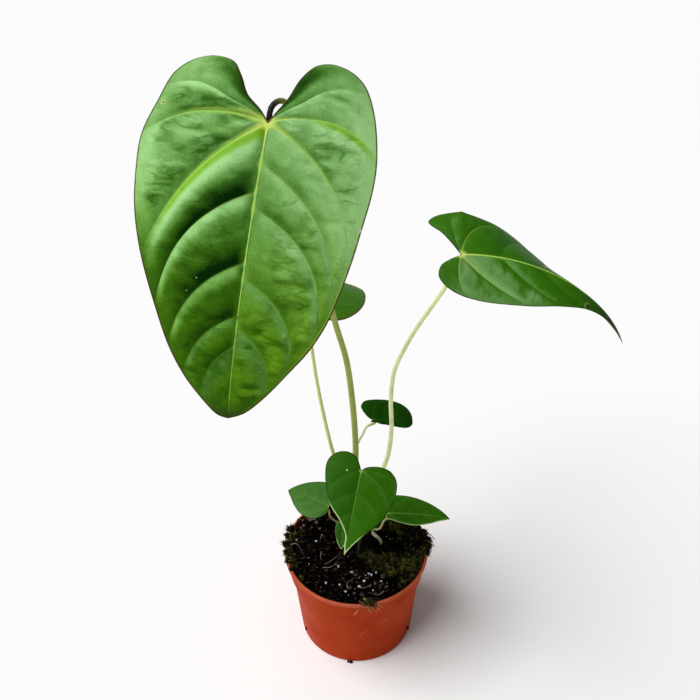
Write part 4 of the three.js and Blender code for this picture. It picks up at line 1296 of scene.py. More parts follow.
def moss_tree():
    """Short upright moss leaves, in tufts, over a surface where a mask lets them."""
    tree, nodes, start, end = geometry_tree(
        "Moss leaves", Density=("Float", 1000000.0), Mask=("String", "moss"), Seed=("Int", 1),
        Length=("Float", 0.0035), Width=("Float", 0.0004), Lean=("Float", 0.6),
        Material=("Material", None))
    points, rotation = scatter_points(nodes, start)
    spike = nodes.node("GeometryNodeMeshCone", {
        "Vertices": 3, "Side Segments": 2, "Radius Top": 0.0, "Radius Bottom": 1.0,
        "Depth": 1.0}).outputs[0]
    place = nodes.node("GeometryNodeInputPosition").outputs[0]
    leaf = marked(nodes, spike, "tip", nodes.part(place, 2))
    tuft = nodes.ramp(nodes.noise(place, 190.0, 1), 0.38, 0.62, 0.35, 1.5)
    length = nodes.times(start["Length"], tuft, random_value(nodes, 0.5, 1.2, 4))
    strew(nodes, start, end, points, turned_about(nodes, rotation, start["Lean"], 6), leaf,
          nodes.xyz(start["Width"], start["Width"], length))
    return tree


# Shared shader effects.
def shader_group(name, inputs, outputs):
    """A shader node group; returns the tree, its nodes, and both ends."""
    tree = bpy.data.node_groups.new(name, "ShaderNodeTree")
    for label, (kind, value) in inputs.items():
        socket = tree.interface.new_socket(label, in_out="INPUT", socket_type=f"NodeSocket{kind}")
        socket.default_value = value
    for label in outputs:
        tree.interface.new_socket(label, in_out="OUTPUT", socket_type="NodeSocketFloat")
    nodes = Nodes(tree)
    return tree, nodes, nodes.node("NodeGroupInput").outputs, nodes.node("NodeGroupOutput").inputs


def shared(name, build):
    """A shader group, built the first time that it is asked for."""
    return bpy.data.node_groups.get(name) or build(name)


def build_leaf_lines(name):
    """Masks for a leaf's pale veins, the grooves they lie in, and its margin."""
    tree, nodes, start, end = shader_group(name, {
        "Vein": ("Float", 5.0), "Glow": ("Float", 1.0), "Rim": ("Float", 5.0),
        "Margin Width": ("Float", 0.5), "Place": ("Vector", (0, 0, 0)),
    }, ["Vein", "Groove", "Margin"])
    ragged = nodes.math("MULTIPLY_ADD", nodes.noise(start["Place"], 0.3, 3), 0.9, 0.55)
    sharp = nodes.ramp(nodes.math("DIVIDE", start["Vein"], ragged), 0.25, 1.3, 1.0, 0.0)
    nodes.feed(end["Vein"], nodes.times(sharp, start["Glow"]))
    nodes.feed(end["Groove"], nodes.ramp(start["Vein"], 0.6, 2.8, 1.0, 0.0))
    inside = nodes.math("SUBTRACT", start["Rim"], nodes.times(start["Margin Width"], ragged))
    nodes.feed(end["Margin"], nodes.ramp(inside, -0.15, 0.3, 1.0, 0.0))
    return tree


def build_leaf_grain(name):
    """Blotches, creases and the fine raised net of a leaf, from its flat place in millimetres."""
    tree, nodes, start, end = shader_group(name, {
        "Place": ("Vector", (0, 0, 0)), "Cell": ("Float", 1.6),
    }, ["Blotch", "Fine", "Creases", "Net", "Height"])
    place = start["Place"]
    nodes.feed(end["Blotch"], nodes.noise(place, 0.11, 5, 0.62))
    nodes.feed(end["Fine"], nodes.noise(place, 0.8, 4, 0.7))
    creased = nodes.noise(nodes.vector("MULTIPLY", place, (1 / 17, 1 / 7, 0)), 1.0, 2, 0.45)
    off = nodes.math("ABSOLUTE", nodes.math("SUBTRACT", creased, 0.5))
    nodes.feed(end["Creases"], nodes.ramp(off, 0.0, 0.1, 1.0, 0.0))
    bend = nodes.node("ShaderNodeTexNoise", {
        "Vector": place, "Scale": 0.3, "Detail": 2.0}).outputs["Color"]
    bend = nodes.vector("MULTIPLY", nodes.vector("SUBTRACT", bend, (0.5, 0.5, 0.5)), (3, 3, 0))
    cells = nodes.node("ShaderNodeTexVoronoi", {
        "Vector": nodes.vector("ADD", place, bend),
        "Scale": nodes.math("DIVIDE", 1.0, start["Cell"])},
        feature="DISTANCE_TO_EDGE", voronoi_dimensions="2D").outputs["Distance"]
    net = nodes.ramp(cells, 0.0, 0.16, 1.0, 0.0)
    nodes.feed(end["Net"], net)
    bumps = nodes.times(nodes.noise(place, 1.6, 3, 0.6), 0.5)
    nodes.feed(end["Height"], nodes.math("ADD", nodes.times(net, -0.35), bumps))
    return tree


def build_weathering(name):
    """Soft patches and fine specks over any surface."""
    tree, nodes, start, end = shader_group(name, {
        "Place": ("Vector", (0, 0, 0)), "Patch Scale": ("Float", 30.0),
        "Speck Scale": ("Float", 600.0)}, ["Patch", "Speck"])
    nodes.feed(end["Patch"], nodes.noise(start["Place"], start["Patch Scale"], 4, 0.6))
    specks = nodes.noise(start["Place"], start["Speck Scale"], 2)
    nodes.feed(end["Speck"], nodes.ramp(specks, 0.6, 0.72))
    return tree


def weathering(nodes, place, patch_scale, speck_scale):
    return nodes.group(
        shared("Weathering", build_weathering), Place=place, Patch_Scale=patch_scale,
        Speck_Scale=speck_scale)


def new_material(name, roughness, specular=0.5):
    """An empty material; returns it, its nodes, its shader and the object's own place."""
    material = bpy.data.materials.new(name)
    material.use_nodes = True
    material.node_tree.nodes.clear()
    nodes = Nodes(material.node_tree)
    shader = nodes.node("ShaderNodeBsdfPrincipled", {
        "Roughness": roughness, "Specular IOR Level": specular})
    nodes.node("ShaderNodeOutputMaterial", {"Surface": shader.outputs[0]})
    place = nodes.node("ShaderNodeTexCoord").outputs["Object"]
    return material, nodes, shader, place


def colour_and_bump(nodes, shader, colour, height, distance, strength):
    nodes.feed(shader.inputs["Base Color"], colour)
    bump = nodes.node("ShaderNodeBump", {
        "Height": height, "Distance": distance, "Strength": strength})
    nodes.feed(shader.inputs["Normal"], bump.outputs[0])


def leaf_tissue(nodes, look, grain, creases):
    """The colour of a leaf's upper face between its veins, with painted light and shade on its
    swellings and painted shade in its creases.
    """
    mottled = (
        nodes.times(nodes.math("SUBTRACT", grain[label], 0.5), share * look["mottled"])
        for label, share in (("Blotch", 1.0), ("Fine", 0.8)))
    painted_tone = nodes.math("ADD", nodes.attribute("painted_tone"), nodes.math("ADD", *mottled))
    # Painted shade in the creases.
    painted_tone = nodes.math("SUBTRACT", painted_tone, nodes.times(creases, 0.28))
    tissue = nodes.mix(
        nodes.attribute("fresh"), nodes.colours(painted_tone, look["colours"]),
        nodes.colours(painted_tone, look["fresh"]))
    return nodes.mix(nodes.times(grain["Net"], 0.06), tissue, display(*look["colours"][1]))


def leaf_marks(nodes, look, length, place, lines, colour):
    """Lays pale veins, their hub, the tip, the margin and the scars over a leaf's tissue."""
    colour = nodes.mix(lines["Vein"], colour, display(*look["vein"]))
    from_stalk = nodes.away(place)
    hub = nodes.ramp(from_stalk, 0.008 * length, 0.035 * length, 0.95, 0.0)
    veins = nodes.ramp(from_stalk, 0.02 * length, 0.12 * length, 0.9, 0.0)
    hub = nodes.math("MAXIMUM", hub, nodes.times(lines["Vein"], veins))
    colour = nodes.mix(hub, colour, display(*look["hub"]))
    tip = nodes.ramp(nodes.part(place, 1), look["tip_from"] * length, length, 0.0, 0.9)
    colour = nodes.mix(tip, colour, display(*look["tip"]))
    margin = nodes.mix(
        nodes.attribute("pale"), display(*look["margin"]), display(*look["pale_margin"]))
    colour = nodes.mix(nodes.times(lines["Margin"], 0.85), colour, margin)
    for x, y, radius, scar_colour in look["scars"]:
        scar = nodes.ramp(nodes.away(place, (x, y, 0)), 0.5 * radius, radius, 0.9, 0.0)
        colour = nodes.mix(scar, colour, display(*scar_colour))
    return colour


def leaf_material(name, leaf, look):
    """A leaf's marked upper face, with its painted light and shade, and its plainer, paler lower
    face.
    """
    roughness = look["roughness"]
    material, nodes, shader, _ = new_material(f"Leaf_{name}", roughness, look["specular"])
    uv = nodes.node("ShaderNodeUVMap", uv_map="Flat").outputs[0]
    place = nodes.stretched(
        uv, (FLAT_SPAN, FLAT_SPAN, 1), (-FLAT_CORNER[0], -FLAT_CORNER[1], 0))
    wider = nodes.ramp(nodes.attribute("pale"), 0.0, 1.0, 1.0, 1.4)
    lines = nodes.group(
        shared("Leaf lines", build_leaf_lines), Vein=nodes.attribute("vein"),
        Glow=nodes.attribute("glow"), Rim=nodes.attribute("rim"),
        Margin_Width=nodes.times(wider, look["margin_width"]), Place=place)
    grain = nodes.group(shared("Leaf grain", build_leaf_grain), Place=place)
    creases = nodes.times(grain["Creases"], nodes.attribute("creased"))
    tissue = leaf_tissue(nodes, look, grain, creases)
    upper = leaf_marks(nodes, look, leaf["length"], place, lines, tissue)
    lower = nodes.mix(grain["Blotch"], display(*look["under"]), shade(look["under"], 0.82))
    lower = nodes.mix(nodes.times(lines["Groove"], 0.35), lower, display(*look["under_vein"]))
    nodes.feed(shader.inputs["Roughness"], nodes.ramp(
        grain["Blotch"], 0.2, 0.8, roughness - 0.05, roughness + 0.1))
    height = nodes.math("SUBTRACT", grain["Height"], nodes.times(creases, 2.2))
    colour = nodes.mix(nodes.attribute("under"), upper, lower)
    colour_and_bump(nodes, shader, colour, height, 0.0004, 0.5)
    return material


def stalk_material(name, foot, middle, knuckle, knuckle_from):
    """A smooth stalk, streaked along its length, with a darker knuckle."""
    material, nodes, shader, place = new_material(f"Stalk_{name}", 0.45, 0.2)
    streaks = nodes.noise(nodes.stretched(place, (1, 1, 0.06)), 1300.0, 2)
    patches = weathering(nodes, place, 60.0, 700.0)
    along = nodes.attribute("along")
    colour = nodes.mix(nodes.ramp(along, 0.0, 0.35), display(*foot), display(*middle))
    for share, factor in (
        (nodes.ramp(patches["Patch"], 0.4, 0.75, 0.0, 0.6), 0.84),
        (nodes.ramp(streaks, 0.45, 0.7, 0.0, 0.25), 1.15),
        (nodes.times(patches["Speck"], 0.35), 0.62),
    ):
        colour = nodes.mix(share, colour, shade(middle, factor))
    dark = nodes.ramp(along, knuckle_from, min(knuckle_from + 0.03, 0.995))
    colour = nodes.mix(dark, colour, display(*knuckle))
    colour_and_bump(nodes, shader, colour, streaks, 0.0003, 0.4)
    return material


def scratch(nodes, place, start, end, width):
    """A mask for a straight scratch on the pot's front, between two points across and up."""
    length = math.dist(start, end)
    across, up = ((end[i] - start[i]) / length for i in (0, 1))
    x = nodes.math("SUBTRACT", nodes.part(place, 0), start[0] * MM)
    z = nodes.math("SUBTRACT", nodes.part(place, 2), start[1] * MM)
    along = nodes.math("ADD", nodes.times(x, across), nodes.times(z, up))
    off = nodes.math("SUBTRACT", nodes.times(x, up), nodes.times(z, across))
    return nodes.times(
        nodes.ramp(nodes.math("ABSOLUTE", off), 0.3 * width * MM, width * MM, 1.0, 0.0),
        nodes.ramp(along, 0.0, 0.1 * length * MM),
        nodes.ramp(along, 0.6 * length * MM, length * MM, 1.0, 0.0),
        nodes.ramp(nodes.noise(place, 420.0, 2), 0.38, 0.55),
        nodes.ramp(nodes.part(place, 1), -0.02, -0.03, 0.0, 1.0))


def pot_material(settings):
    """Terracotta-coloured plastic with a paler lip, scratches, soil specks, and an inner rim
    darkened partly by soil stain and partly by painted shade.
    """
    material, nodes, shader, place = new_material("Terracotta_plastic", 0.5, 0.03)
    weather = weathering(nodes, place, 28.0, 420.0)
    height, top = nodes.part(place, 2), POT_HEIGHT * MM
    base = tuple(settings.pot_colour)
    dull = tuple(0.8 * c for c in base)
    colour = nodes.mix(nodes.ramp(weather["Patch"], 0.3, 0.75), base, dull)
    bloom = nodes.times(
        nodes.ramp(height, top - 0.0055, top - 0.0025),
        nodes.ramp(weather["Patch"], 0.2, 0.6, 0.75, 0.35))
    colour = nodes.mix(bloom, colour, display(*LIP_BLOOM))
    for start, end, width in POT_SCRATCHES:
        scratched = nodes.times(scratch(nodes, place, start, end, width), 0.6)
        colour = nodes.mix(scratched, colour, display(*SCRATCHED))
    soil = nodes.math(
        "ADD", nodes.ramp(height, top - 0.007, top - 0.001, 0.0, 0.35),
        nodes.ramp(height, 0.0, 0.01, 0.35, 0.0))
    colour = nodes.mix(nodes.times(weather["Speck"], soil), colour, display(*SOIL_SPECKS))
    # The inner rim just above the peat darkens: partly soil stain, partly painted shade.
    away = nodes.away(nodes.vector("MULTIPLY", place, (1, 1, 0)))
    ragged = nodes.math("ADD", away, nodes.times(weather["Patch"], 0.0018))
    inner, outer = ((RIM_RADIUS - inset) * MM for inset in (1.3, 0.7))
    stained_and_shaded = nodes.times(
        nodes.ramp(ragged, inner, outer, 1.0, 0.0), nodes.ramp(height, top - 0.0035, top - 0.001))
    colour = nodes.mix(stained_and_shaded, colour, display(*SOIL_STAIN_AND_SHADE))
    nodes.feed(shader.inputs["Roughness"], nodes.ramp(weather["Patch"], 0.25, 0.75, 0.42, 0.62))
    colour_and_bump(nodes, shader, colour, weather["Patch"], 0.0002, 0.15)
    return material


def crumb_material(name, colours, roughness, scale, toned=True):
    """Crumbly matter: two colours in patches, and each grain lighter or darker."""
    material, nodes, shader, place = new_material(name, roughness, 0.1)
    patch = weathering(nodes, place, scale, scale * 6)["Patch"]
    share = nodes.ramp(patch, 0.35, 0.68)
    if toned:
        grain = nodes.ramp(nodes.attribute("grain_tone"), 0.3, 1.0)
        share = nodes.times(grain, nodes.math("ADD", 0.2, share))
    dark, light = colours
    colour = nodes.mix(share, display(*dark), display(*light))
    colour_and_bump(nodes, shader, colour, patch, 0.0008, 0.7)
    return material


def peat_material():
    """Near-black crumbly peat with a few pale specks, greener under the moss."""
    material, nodes, shader, place = new_material("Peat", 1.0, 0.0)
    weather = weathering(nodes, place, 260.0, 1500.0)
    dark, light = PEAT_COLOURS
    colour = nodes.mix(
        nodes.ramp(weather["Patch"], 0.35, 0.7), display(*dark), display(*light))
    colour = nodes.mix(nodes.times(weather["Speck"], 0.2), colour, display(*PEAT_SPECKS))
    colour = nodes.mix(nodes.attribute("moss"), colour, display(*PEAT_UNDER_MOSS))
    colour_and_bump(nodes, shader, colour, weather["Patch"], 0.0014, 1.0)
    return material


def moss_material():
    """Moss leaves, lighter towards their tips, in green and in brown tufts."""
    material, nodes, shader, place = new_material("Moss", 0.85, 0.1)
    tuft = nodes.ramp(nodes.noise(place, 210.0, 2), 0.38, 0.6, 0.2, 1.4)
    share = nodes.times(
        nodes.attribute("tip"), nodes.math("ADD", 0.3, nodes.attribute("grain_tone")), tuft)
    share = nodes.ramp(share, 0.0, 1.1)
    green, brown = (
        nodes.mix(share, display(*dark), display(*light))
        for dark, light in (GREEN_MOSS, BROWN_MOSS))
    patch = nodes.noise(place, 110.0, 2)
    colour = nodes.mix(nodes.ramp(patch, 0.45, 0.6), green, brown)
    colour_and_bump(nodes, shader, colour, patch, 0.0003, 0.3)
    return material


def rootstock_material():
    """A ringed stem, green above and brown where it stands in the peat."""
    material, nodes, shader, place = new_material("Rootstock", 0.8, 0.08)
    patch = weathering(nodes, place, 160.0, 900.0)["Patch"]
    rings = nodes.noise(nodes.stretched(place, (40, 40, 520)), 1.0, 3)
    green, brown = (
        nodes.mix(share, display(*first), display(*second))
        for share, (first, second) in (
            (nodes.ramp(rings, 0.35, 0.7), ROOTSTOCK_TOP),
            (nodes.ramp(patch, 0.3, 0.7), ROOTSTOCK_FOOT)))
    colour = nodes.mix(nodes.ramp(nodes.part(place, 2), 0.106, 0.128), brown, green)
    colour_and_bump(nodes, shader, colour, rings, 0.0008, 0.7)
    return material


def root_material(name, foot, tip):
    """A root or fibre that changes colour along its length, with darker patches."""
    material, nodes, shader, place = new_material(name, 0.7, 0.3)
    patch = weathering(nodes, place, 220.0, 1200.0)["Patch"]
    along = nodes.ramp(nodes.attribute("along"), 0.2, 0.8)
    colour = nodes.mix(along, display(*foot), display(*tip))
    colour = nodes.mix(nodes.ramp(patch, 0.4, 0.75, 0.0, 0.5), colour, shade(foot, 0.6))
    colour_and_bump(nodes, shader, colour, patch, 0.0004, 0.5)
    return material


# Settings that a user would change.
class PotSettings(bpy.types.PropertyGroup):
    pot_colour: FloatVectorProperty(
        name="Pot Colour", description="Colour of the pot's plastic", subtype="COLOR", size=3,
        min=0, max=1, default=display(180, 58, 11))
    pot_sides: IntProperty(
        name="Pot Sides", description="Flat sides round the pot", default=144, min=48, max=256)


class PeatSettings(bpy.types.PropertyGroup):
    moss_density: FloatProperty(
        name="Moss Density", description="Moss leaves to a square metre", default=2200000.0,
        min=0)
    moss_length: FloatProperty(
        name="Moss Length", description="Length of a moss leaf", subtype="DISTANCE", unit="LENGTH",
        default=0.005, min=0.0005, max=0.01)
    bark_density: FloatProperty(
        name="Bark Density", description="Bark crumbs to a square metre", default=110000.0, min=0)
    perlite_density: FloatProperty(
        name="Perlite Density", description="Small white grains to a square metre",
        default=4500.0, min=0)


class FoliageSettings(bpy.types.PropertyGroup):
    tube_sides: IntProperty(
        name="Stalk Sides", description="Flat sides round a stalk", default=16, min=8, max=48)
    tube_spacing: FloatProperty(
        name="Stalk Spacing", description="Length between rings of a stalk", subtype="DISTANCE",
        unit="LENGTH", default=0.0025, min=0.001, max=0.02)


class StageSettings(bpy.types.PropertyGroup):
    floor_colour: FloatVectorProperty(
        name="Floor Colour", description="Colour of the floor", subtype="COLOR", size=3, min=0,
        max=1, default=(0.93, 0.93, 0.93))
    sun_strength: FloatProperty(
        name="Sun Strength", description="Strength of the soft main light", default=3.1, min=0)
    sun_softness: FloatProperty(
        name="Sun Softness", description="How wide the main light is, in degrees", default=50.0,
        min=0, max=180)
    surround: FloatProperty(
        name="Surround", description="Brightness of the white surround", default=0.2, min=0)


class MakePot(bpy.types.Operator):
    """Makes the nursery pot with its lip, collar and drain holes"""
    bl_idname = "plant.make_pot"
    bl_label = "Make Pot"

    def execute(self, context):
        settings = context.scene.plant_pot
        collar_foot, lip_foot = POT_HEIGHT - COLLAR_HEIGHT, POT_HEIGHT - LIP_HEIGHT
        collar = RIM_RADIUS - LIP_WIDTH
        body_top = collar - 2 * COLLAR_TAPER - COLLAR_STEP
        outline = [
            (0, 0), (FOOT_RADIUS - 1, 0), (FOOT_RADIUS, 1), (body_top, collar_foot - 1),
            (collar - COLLAR_TAPER, collar_foot + 0.6), (collar, lip_foot),
            (RIM_RADIUS - 0.5, lip_foot), (RIM_RADIUS, lip_foot + 0.6),
            (RIM_RADIUS, POT_HEIGHT - 0.7), (RIM_RADIUS - 0.7, POT_HEIGHT),
            (collar, POT_HEIGHT), (collar - POT_WALL, lip_foot),
            (collar - POT_WALL - COLLAR_TAPER, collar_foot),
            (body_top - POT_WALL, collar_foot - 1), (FOOT_RADIUS - POT_WALL, POT_FLOOR),
            (0, POT_FLOOR),
        ]
        pot = add_object(
            "Pot", turned_mesh("Pot", rounded(outline, POT_ROUNDING), settings.pot_sides))
        drill_outline = [
            (0, DRILL_FOOT), (DRAIN_RADIUS, DRILL_FOOT), (DRAIN_RADIUS, DRILL_TOP), (0, DRILL_TOP)]
        drills = []
        for angle in 2 * np.pi * (np.arange(DRAIN_HOLES) + 0.5) / DRAIN_HOLES:
            drill = turned_mesh("Drill", drill_outline, DRILL_SIDES)
            x, y = (DRAIN_RING_RADIUS * MM * part(angle) for part in (math.cos, math.sin))
            drill.transform(Matrix.Translation((x, y, 0)))
            drills.append(add_object("Drill", drill))
            cut = pot.modifiers.new("Drill", "BOOLEAN")
            cut.operation = "DIFFERENCE"
            cut.solver = "EXACT"
            cut.object = drills[-1]
        mesh = evaluated_mesh(pot)
        pot.modifiers.clear()
        pot.data = mesh
        for drill in drills:
            bpy.data.objects.remove(drill)
        smooth_but_for(mesh, POT_SHARP)
        finish_piece(pot, "terracotta", "pot", material=pot_material(settings))
        return {"FINISHED"}


def peat_mesh():
    """The peat's fine top, with masks for bare peat and moss, on its plain buried body."""
    rings, sides = PEAT_RINGS, PEAT_SIDES
    inside = RIM_RADIUS - LIP_WIDTH - POT_WALL - PEAT_GAP
    radii = inside * np.array([*np.linspace(0, 0.998, rings)[1:], 0.9985])
    angles = np.linspace(0, 2 * np.pi, sides, endpoint=False)
    x, y = (
        np.concatenate([[0], (radii[:, None] * part(angles)).ravel()])
        for part in (np.cos, np.sin))
    top = np.stack([x, y, peat_height(x, y)], -1)
    foot_radius = FOOT_RADIUS - POT_WALL - PEAT_FOOT_GAP
    foot = POT_FLOOR + PEAT_FOOT_GAP
    foot_ring = np.stack([
        foot_radius * np.cos(angles), foot_radius * np.sin(angles), np.full(sides, foot)], -1)
    points = np.concatenate([top, foot_ring, [[0, 0, foot]]])
    faces = []
    for s in range(sides):
        n = (s + 1) % sides
        faces.append((0, 1 + s, 1 + n))
        for r in range(rings):
            a, b = 1 + r * sides, 1 + (r + 1) * sides
            faces.append((a + s, b + s, b + n, a + n))
        faces.append((len(points) - 1, 1 + rings * sides + n, 1 + rings * sides + s))
    mesh = bpy.data.meshes.new("Peat")
    mesh.from_pydata((points * MM).tolist(), [], faces)
    moss = moss_share(points[:, 0], points[:, 1])
    is_top = np.arange(len(points)) < len(top) - sides
    store(mesh, "moss", moss * is_top)
    store(mesh, "bare", (1 - moss) * is_top)
    mesh.shade_smooth()
    return mesh


def clod_mesh():
    """Ragged clods that hang over the rim at both sides and in front."""
    points, faces = [], []
    for x, y, z, radius in RIM_CLODS:
        ball = turned_mesh("Ball", [
            (radius * math.sin(a), -radius * math.cos(a))
            for a in np.linspace(0, np.pi, CLOD_RINGS)], CLOD_SIDES)
        start = len(points)
        co = np.zeros(len(ball.vertices) * 3)
        ball.vertices.foreach_get("co", co)
        co = co.reshape(-1, 3) / MM
        push = 1 + 0.9 * (value_noise(co[:, 0] * 0.8 + x, co[:, 1] * 0.8 + co[:, 2] * 0.6, 3) - 0.5)
        points.extend((co * push[:, None] * (1, 1, CLOD_FLATNESS) + (x, y, z)) * MM)
        faces.extend(tuple(v + start for v in p.vertices) for p in ball.polygons)
        bpy.data.meshes.remove(ball)
    mesh = bpy.data.meshes.new("Rim_clods")
    mesh.from_pydata([tuple(p) for p in points], [], faces)
    store(mesh, "moss", np.full(len(points), 0.5))
    store(mesh, "bare", np.full(len(points), 0.8))
    return mesh


def on_peat(places, lift):
    """Points just over the peat's top."""
    x, y = np.array(places, float).T
    return np.stack([x, y, peat_height(x, y) + lift], -1)


def points_object(name, places):
    mesh = bpy.data.meshes.new(name)
    mesh.from_pydata((np.asarray(places) * MM).tolist(), [], [])
    return add_object(name, mesh)


def double(name):
    """A second object on a finished piece's mesh, for a tree to grow on."""
    base = bpy.data.objects[name].copy()
    bpy.context.scene.collection.objects.link(base)
    return base


class MakePeat(bpy.types.Operator):
    """Makes the peat and the clods that hang over the pot's rim"""
    bl_idname = "plant.make_peat"
    bl_label = "Make Peat"

    def execute(self, context):
        earth = peat_material()
        finish_piece(add_object("Peat", peat_mesh()), "peat", "peat", material=earth)
        finish_piece(add_object("Rim_clods", clod_mesh()), "peat", material=earth)
        return {"FINISHED"}


class MakeMoss(bpy.types.Operator):
    """Grows moss on the peat's cushions and on the clods"""
    bl_idname = "plant.make_moss"
    bl_label = "Make Moss"

    def execute(self, context):
        settings = context.scene.plant_peat
        leaves, colour = moss_tree(), moss_material()
        for name, ground, share in (
            ("Moss", "Peat", 1.0), ("Moss_on_rim", "Rim_clods", RIM_MOSS_SHARE),
        ):
            moss = run_tree(
                name, double(ground), leaves, Density=settings.moss_density, Seed=4,
                Length=share * settings.moss_length, Width=MOSS_WIDTH, Lean=MOSS_LEAN,
                Material=colour)
            finish_piece(moss, "peat")
        return {"FINISHED"}


class MakeCrumbs(bpy.types.Operator):
    """Strews bark crumbs, bark chips and perlite over the peat"""
    bl_idname = "plant.make_crumbs"
    bl_label = "Make Bark and Perlite"

    def execute(self, context):
        settings = context.scene.plant_peat
        strewn, placed = scattered_tree(), placed_tree()
        bark = crumb_material("Bark", BARK, 0.9, 300.0)
        white = crumb_material("Perlite", PERLITE, 0.8, 700.0, toned=False)
        pink = crumb_material("Pink_chips", PINK_BARK, 0.8, 400.0)
        red = crumb_material("Red_chips", RED_BARK, 0.8, 400.0)
        pieces = [
            run_tree(
                name, double(ground), strewn, Density=density, Seed=seed, Mask="bare",
                Smallest=smallest, Largest=largest, Flatness=flatness, Detail=1,
                Material=material)
            for name, ground, density, seed, smallest, largest, flatness, material in (
                ("Bark_crumbs", "Peat", settings.bark_density, 2, 0.0008, 0.0036, 0.5, bark),
                ("Bark_on_rim", "Rim_clods", settings.bark_density, 5, 0.0008, 0.0028, 0.5, bark),
                ("Perlite_grit", "Peat", settings.perlite_density, 8, 0.0004, 0.0013, 0.8, white),
            )
        ]
        pieces += [
            run_tree(
                name, points_object(name, places), placed, Smallest=smallest, Largest=largest,
                Flatness=flatness, Detail=detail, Material=material)
            for name, places, smallest, largest, flatness, detail, material in (
                ("Perlite", on_peat(PERLITE_PLACES, PERLITE_LIFT), 0.0012, 0.0028, 0.75, 2, white),
                ("Pink_chips", on_peat(PINK_CHIPS, CHIP_LIFT), 0.0016, 0.0052, 0.3, 1, pink),
                ("Red_chips", on_peat(RED_CHIPS, CHIP_LIFT), 0.0016, 0.005, 0.3, 1, red),
                ("Pot_crumbs", POT_CRUMBS, 0.0016, 0.003, 0.8, 2, bark),
            )
        ]
        for piece in pieces:
            finish_piece(piece, "peat")
        return {"FINISHED"}


def make_tubes(name, paths, radii, material, tree, sides, spacing=0.001):
    """Tubes along paths in millimetres, as one piece."""
    return run_tree(
        name, paths_object(name, paths, radii), tree, Sides=sides, Spacing=spacing,
        Material=material)


class MakeRoots(bpy.types.Operator):
    """Makes the rootstock, its stout aerial roots and the fine root fibres on the peat"""
    bl_idname = "plant.make_roots"
    bl_label = "Make Rootstock and Roots"

    def execute(self, context):
        tree = tube_tree()
        path = smooth_path(ROOTSTOCK_ROUTE, 1.0)
        share = np.linspace(0, 1, len(path))
        radius = ROOTSTOCK_RADIUS * (1 - 0.28 * share ** 2 + 0.05 * np.sin(26 * share))
        rootstock = make_tubes(
            "Rootstock", [path], [radius], rootstock_material(), tree, ROOTSTOCK_SIDES)
        finish_piece(rootstock, "rootstock", "rootstock")
        for name, root in AERIAL_ROOTS.items():
            path = smooth_path(root["route"], 0.8)
            share = np.linspace(0, 1, len(path))
            radius = root["radius"] * (1 - 0.3 * share) * (1 + 0.06 * np.sin(31 * share))
            material = root_material(name, *root["colours"])
            aerial = make_tubes(name, [path], [radius], material, tree, AERIAL_SIDES)
            finish_piece(aerial, "rootstock", "rootstock")
        on_top = [on_peat(route, FIBRE_LIFT) for route in FIBRES]
        for name, routes, thick, colours in (
            ("Root_fibres", on_top, FIBRE_RADIUS, ROOT_FIBRE),
            ("Rim_fibres", HANGING_FIBRES, RIM_FIBRE_RADIUS, RIM_FIBRE),
        ):
            paths = [smooth_path(route, 0.8) for route in routes]
            radii = [thick * np.linspace(1.3, 0.7, len(path)) for path in paths]
            material = root_material(name, *colours)
            fibres = make_tubes(name, paths, radii, material, tree, FIBRE_SIDES)
            finish_piece(fibres, "peat")
        return {"FINISHED"}


class MakeStalks(bpy.types.Operator):
    """Makes the stalk of every leaf"""
    bl_idname = "plant.make_stalks"
    bl_label = "Make Stalks"

    def execute(self, context):
        settings = context.scene.plant_foliage
        tree = tube_tree()
        for name, leaf in LEAVES.items():
            path = smooth_path(stalk_route(leaf), 1.0)
            length = np.linalg.norm(np.diff(path, axis=0), axis=1).sum()
            dark = ARCH_DARK_LENGTH if leaf["stalk"].get("over") else KNUCKLE_LENGTH
            material = stalk_material(name, *STALK_LOOKS[name], 1 - dark / length)
            stalk = make_tubes(
                f"Stalk_{name}", [path], [stalk_radii(leaf, path)], material, tree,
                settings.tube_sides, settings.tube_spacing)
            slot = "stalk_olive" if name == "large" else "stalk_pale"
            finish_piece(stalk, slot, f"stalk_{name}")
        return {"FINISHED"}


class MakeBlades(bpy.types.Operator):
    """Makes the blade of every leaf"""
    bl_idname = "plant.make_blades"
    bl_label = "Make Blades"

    def execute(self, context):
        for name, leaf in LEAVES.items():
            look = LOOKS[name]
            blade = add_object(f"Blade_{name}", blade_mesh(f"Blade_{name}", leaf, look))
            finish_piece(
                blade, look["slot"], f"blade_{name}", material=leaf_material(name, leaf, look))
        return {"FINISHED"}


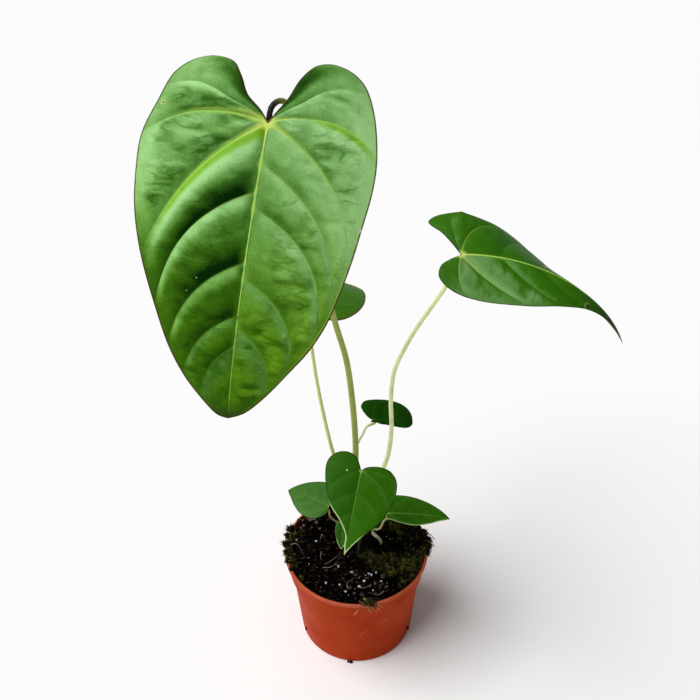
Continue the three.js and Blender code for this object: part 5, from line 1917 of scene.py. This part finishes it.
class MakeStage(bpy.types.Operator):
    """Makes the pale floor, the soft lights and the camera"""
    bl_idname = "plant.make_stage"
    bl_label = "Make Stage"

    def execute(self, context):
        settings = context.scene.plant_stage
        scene = context.scene
        mesh = bpy.data.meshes.new("Floor")
        corners = [(-1, -1, 0), (1, -1, 0), (1, 1, 0), (-1, 1, 0)]
        mesh.from_pydata([[FLOOR_REACH * c for c in corner] for corner in corners], [],
                         [(0, 1, 2, 3)])
        material, _, shader, _ = new_material("Floor", 0.9, 0.1)
        shader.inputs["Base Color"].default_value = (*settings.floor_colour, 1)
        mesh.materials.append(material)
        add_object("Floor", mesh)
        scene.world = bpy.data.worlds.new("Surround")
        scene.world.use_nodes = True
        background = scene.world.node_tree.nodes["Background"].inputs
        background["Strength"].default_value = settings.surround
        background["Color"].default_value = (1, 1, 1, 1)
        light = bpy.data.lights.new("Soft_sun", "SUN")
        light.energy = settings.sun_strength
        light.angle = math.radians(settings.sun_softness)
        sun = add_object("Soft_sun", light)
        sun.matrix_world = Vector(SUN_FROM).to_track_quat("Z", "Y").to_matrix().to_4x4()
        camera = bpy.data.cameras.new("Camera")
        camera.lens = CAMERA_LENS
        camera.sensor_width = CAMERA_SENSOR
        scene.camera = add_object("Camera", camera)
        scene.camera.matrix_world = (
            Matrix.Translation(CAMERA_PLACE)
            @ Matrix.Rotation(math.radians(90 - CAMERA_DOWN), 4, "X")
            @ Matrix.Rotation(math.radians(CAMERA_ROLL), 4, "Z"))
        scene.view_settings.view_transform = "Standard"
        return {"FINISHED"}


class PlantPanel(bpy.types.Panel):
    """Lists what makes the plant, and its settings"""
    bl_idname = "VIEW3D_PT_plant"
    bl_label = "Potted Plant"
    bl_space_type = "VIEW_3D"
    bl_region_type = "UI"
    bl_category = "Plant"

    def draw(self, context):
        scene = context.scene
        groups = (
            (scene.plant_pot, [MakePot]),
            (scene.plant_peat, [MakePeat, MakeMoss, MakeCrumbs, MakeRoots]),
            (scene.plant_foliage, [MakeStalks, MakeBlades]),
            (scene.plant_stage, [MakeStage]),
        )
        for settings, operators in groups:
            box = self.layout.box()
            for key in settings.__annotations__:
                box.prop(settings, key)
            for operator in operators:
                box.operator(operator.bl_idname)


SETTINGS = {
    "plant_pot": PotSettings, "plant_peat": PeatSettings, "plant_foliage": FoliageSettings,
    "plant_stage": StageSettings,
}
CLASSES = [
    *SETTINGS.values(), MakePot, MakePeat, MakeMoss, MakeCrumbs, MakeRoots, MakeStalks,
    MakeBlades, MakeStage, PlantPanel,
]


def register():
    for cls in CLASSES:
        bpy.utils.register_class(cls)
    for name, settings in SETTINGS.items():
        setattr(bpy.types.Scene, name, PointerProperty(type=settings))


def unregister():
    for name in SETTINGS:
        delattr(bpy.types.Scene, name)
    for cls in reversed(CLASSES):
        bpy.utils.unregister_class(cls)


def main():
    register()
    bpy.ops.plant.make_pot()
    bpy.ops.plant.make_peat()
    bpy.ops.plant.make_moss()
    bpy.ops.plant.make_crumbs()
    bpy.ops.plant.make_roots()
    bpy.ops.plant.make_stalks()
    bpy.ops.plant.make_blades()
    bpy.ops.plant.make_stage()


if __name__ == "__main__":
    main()
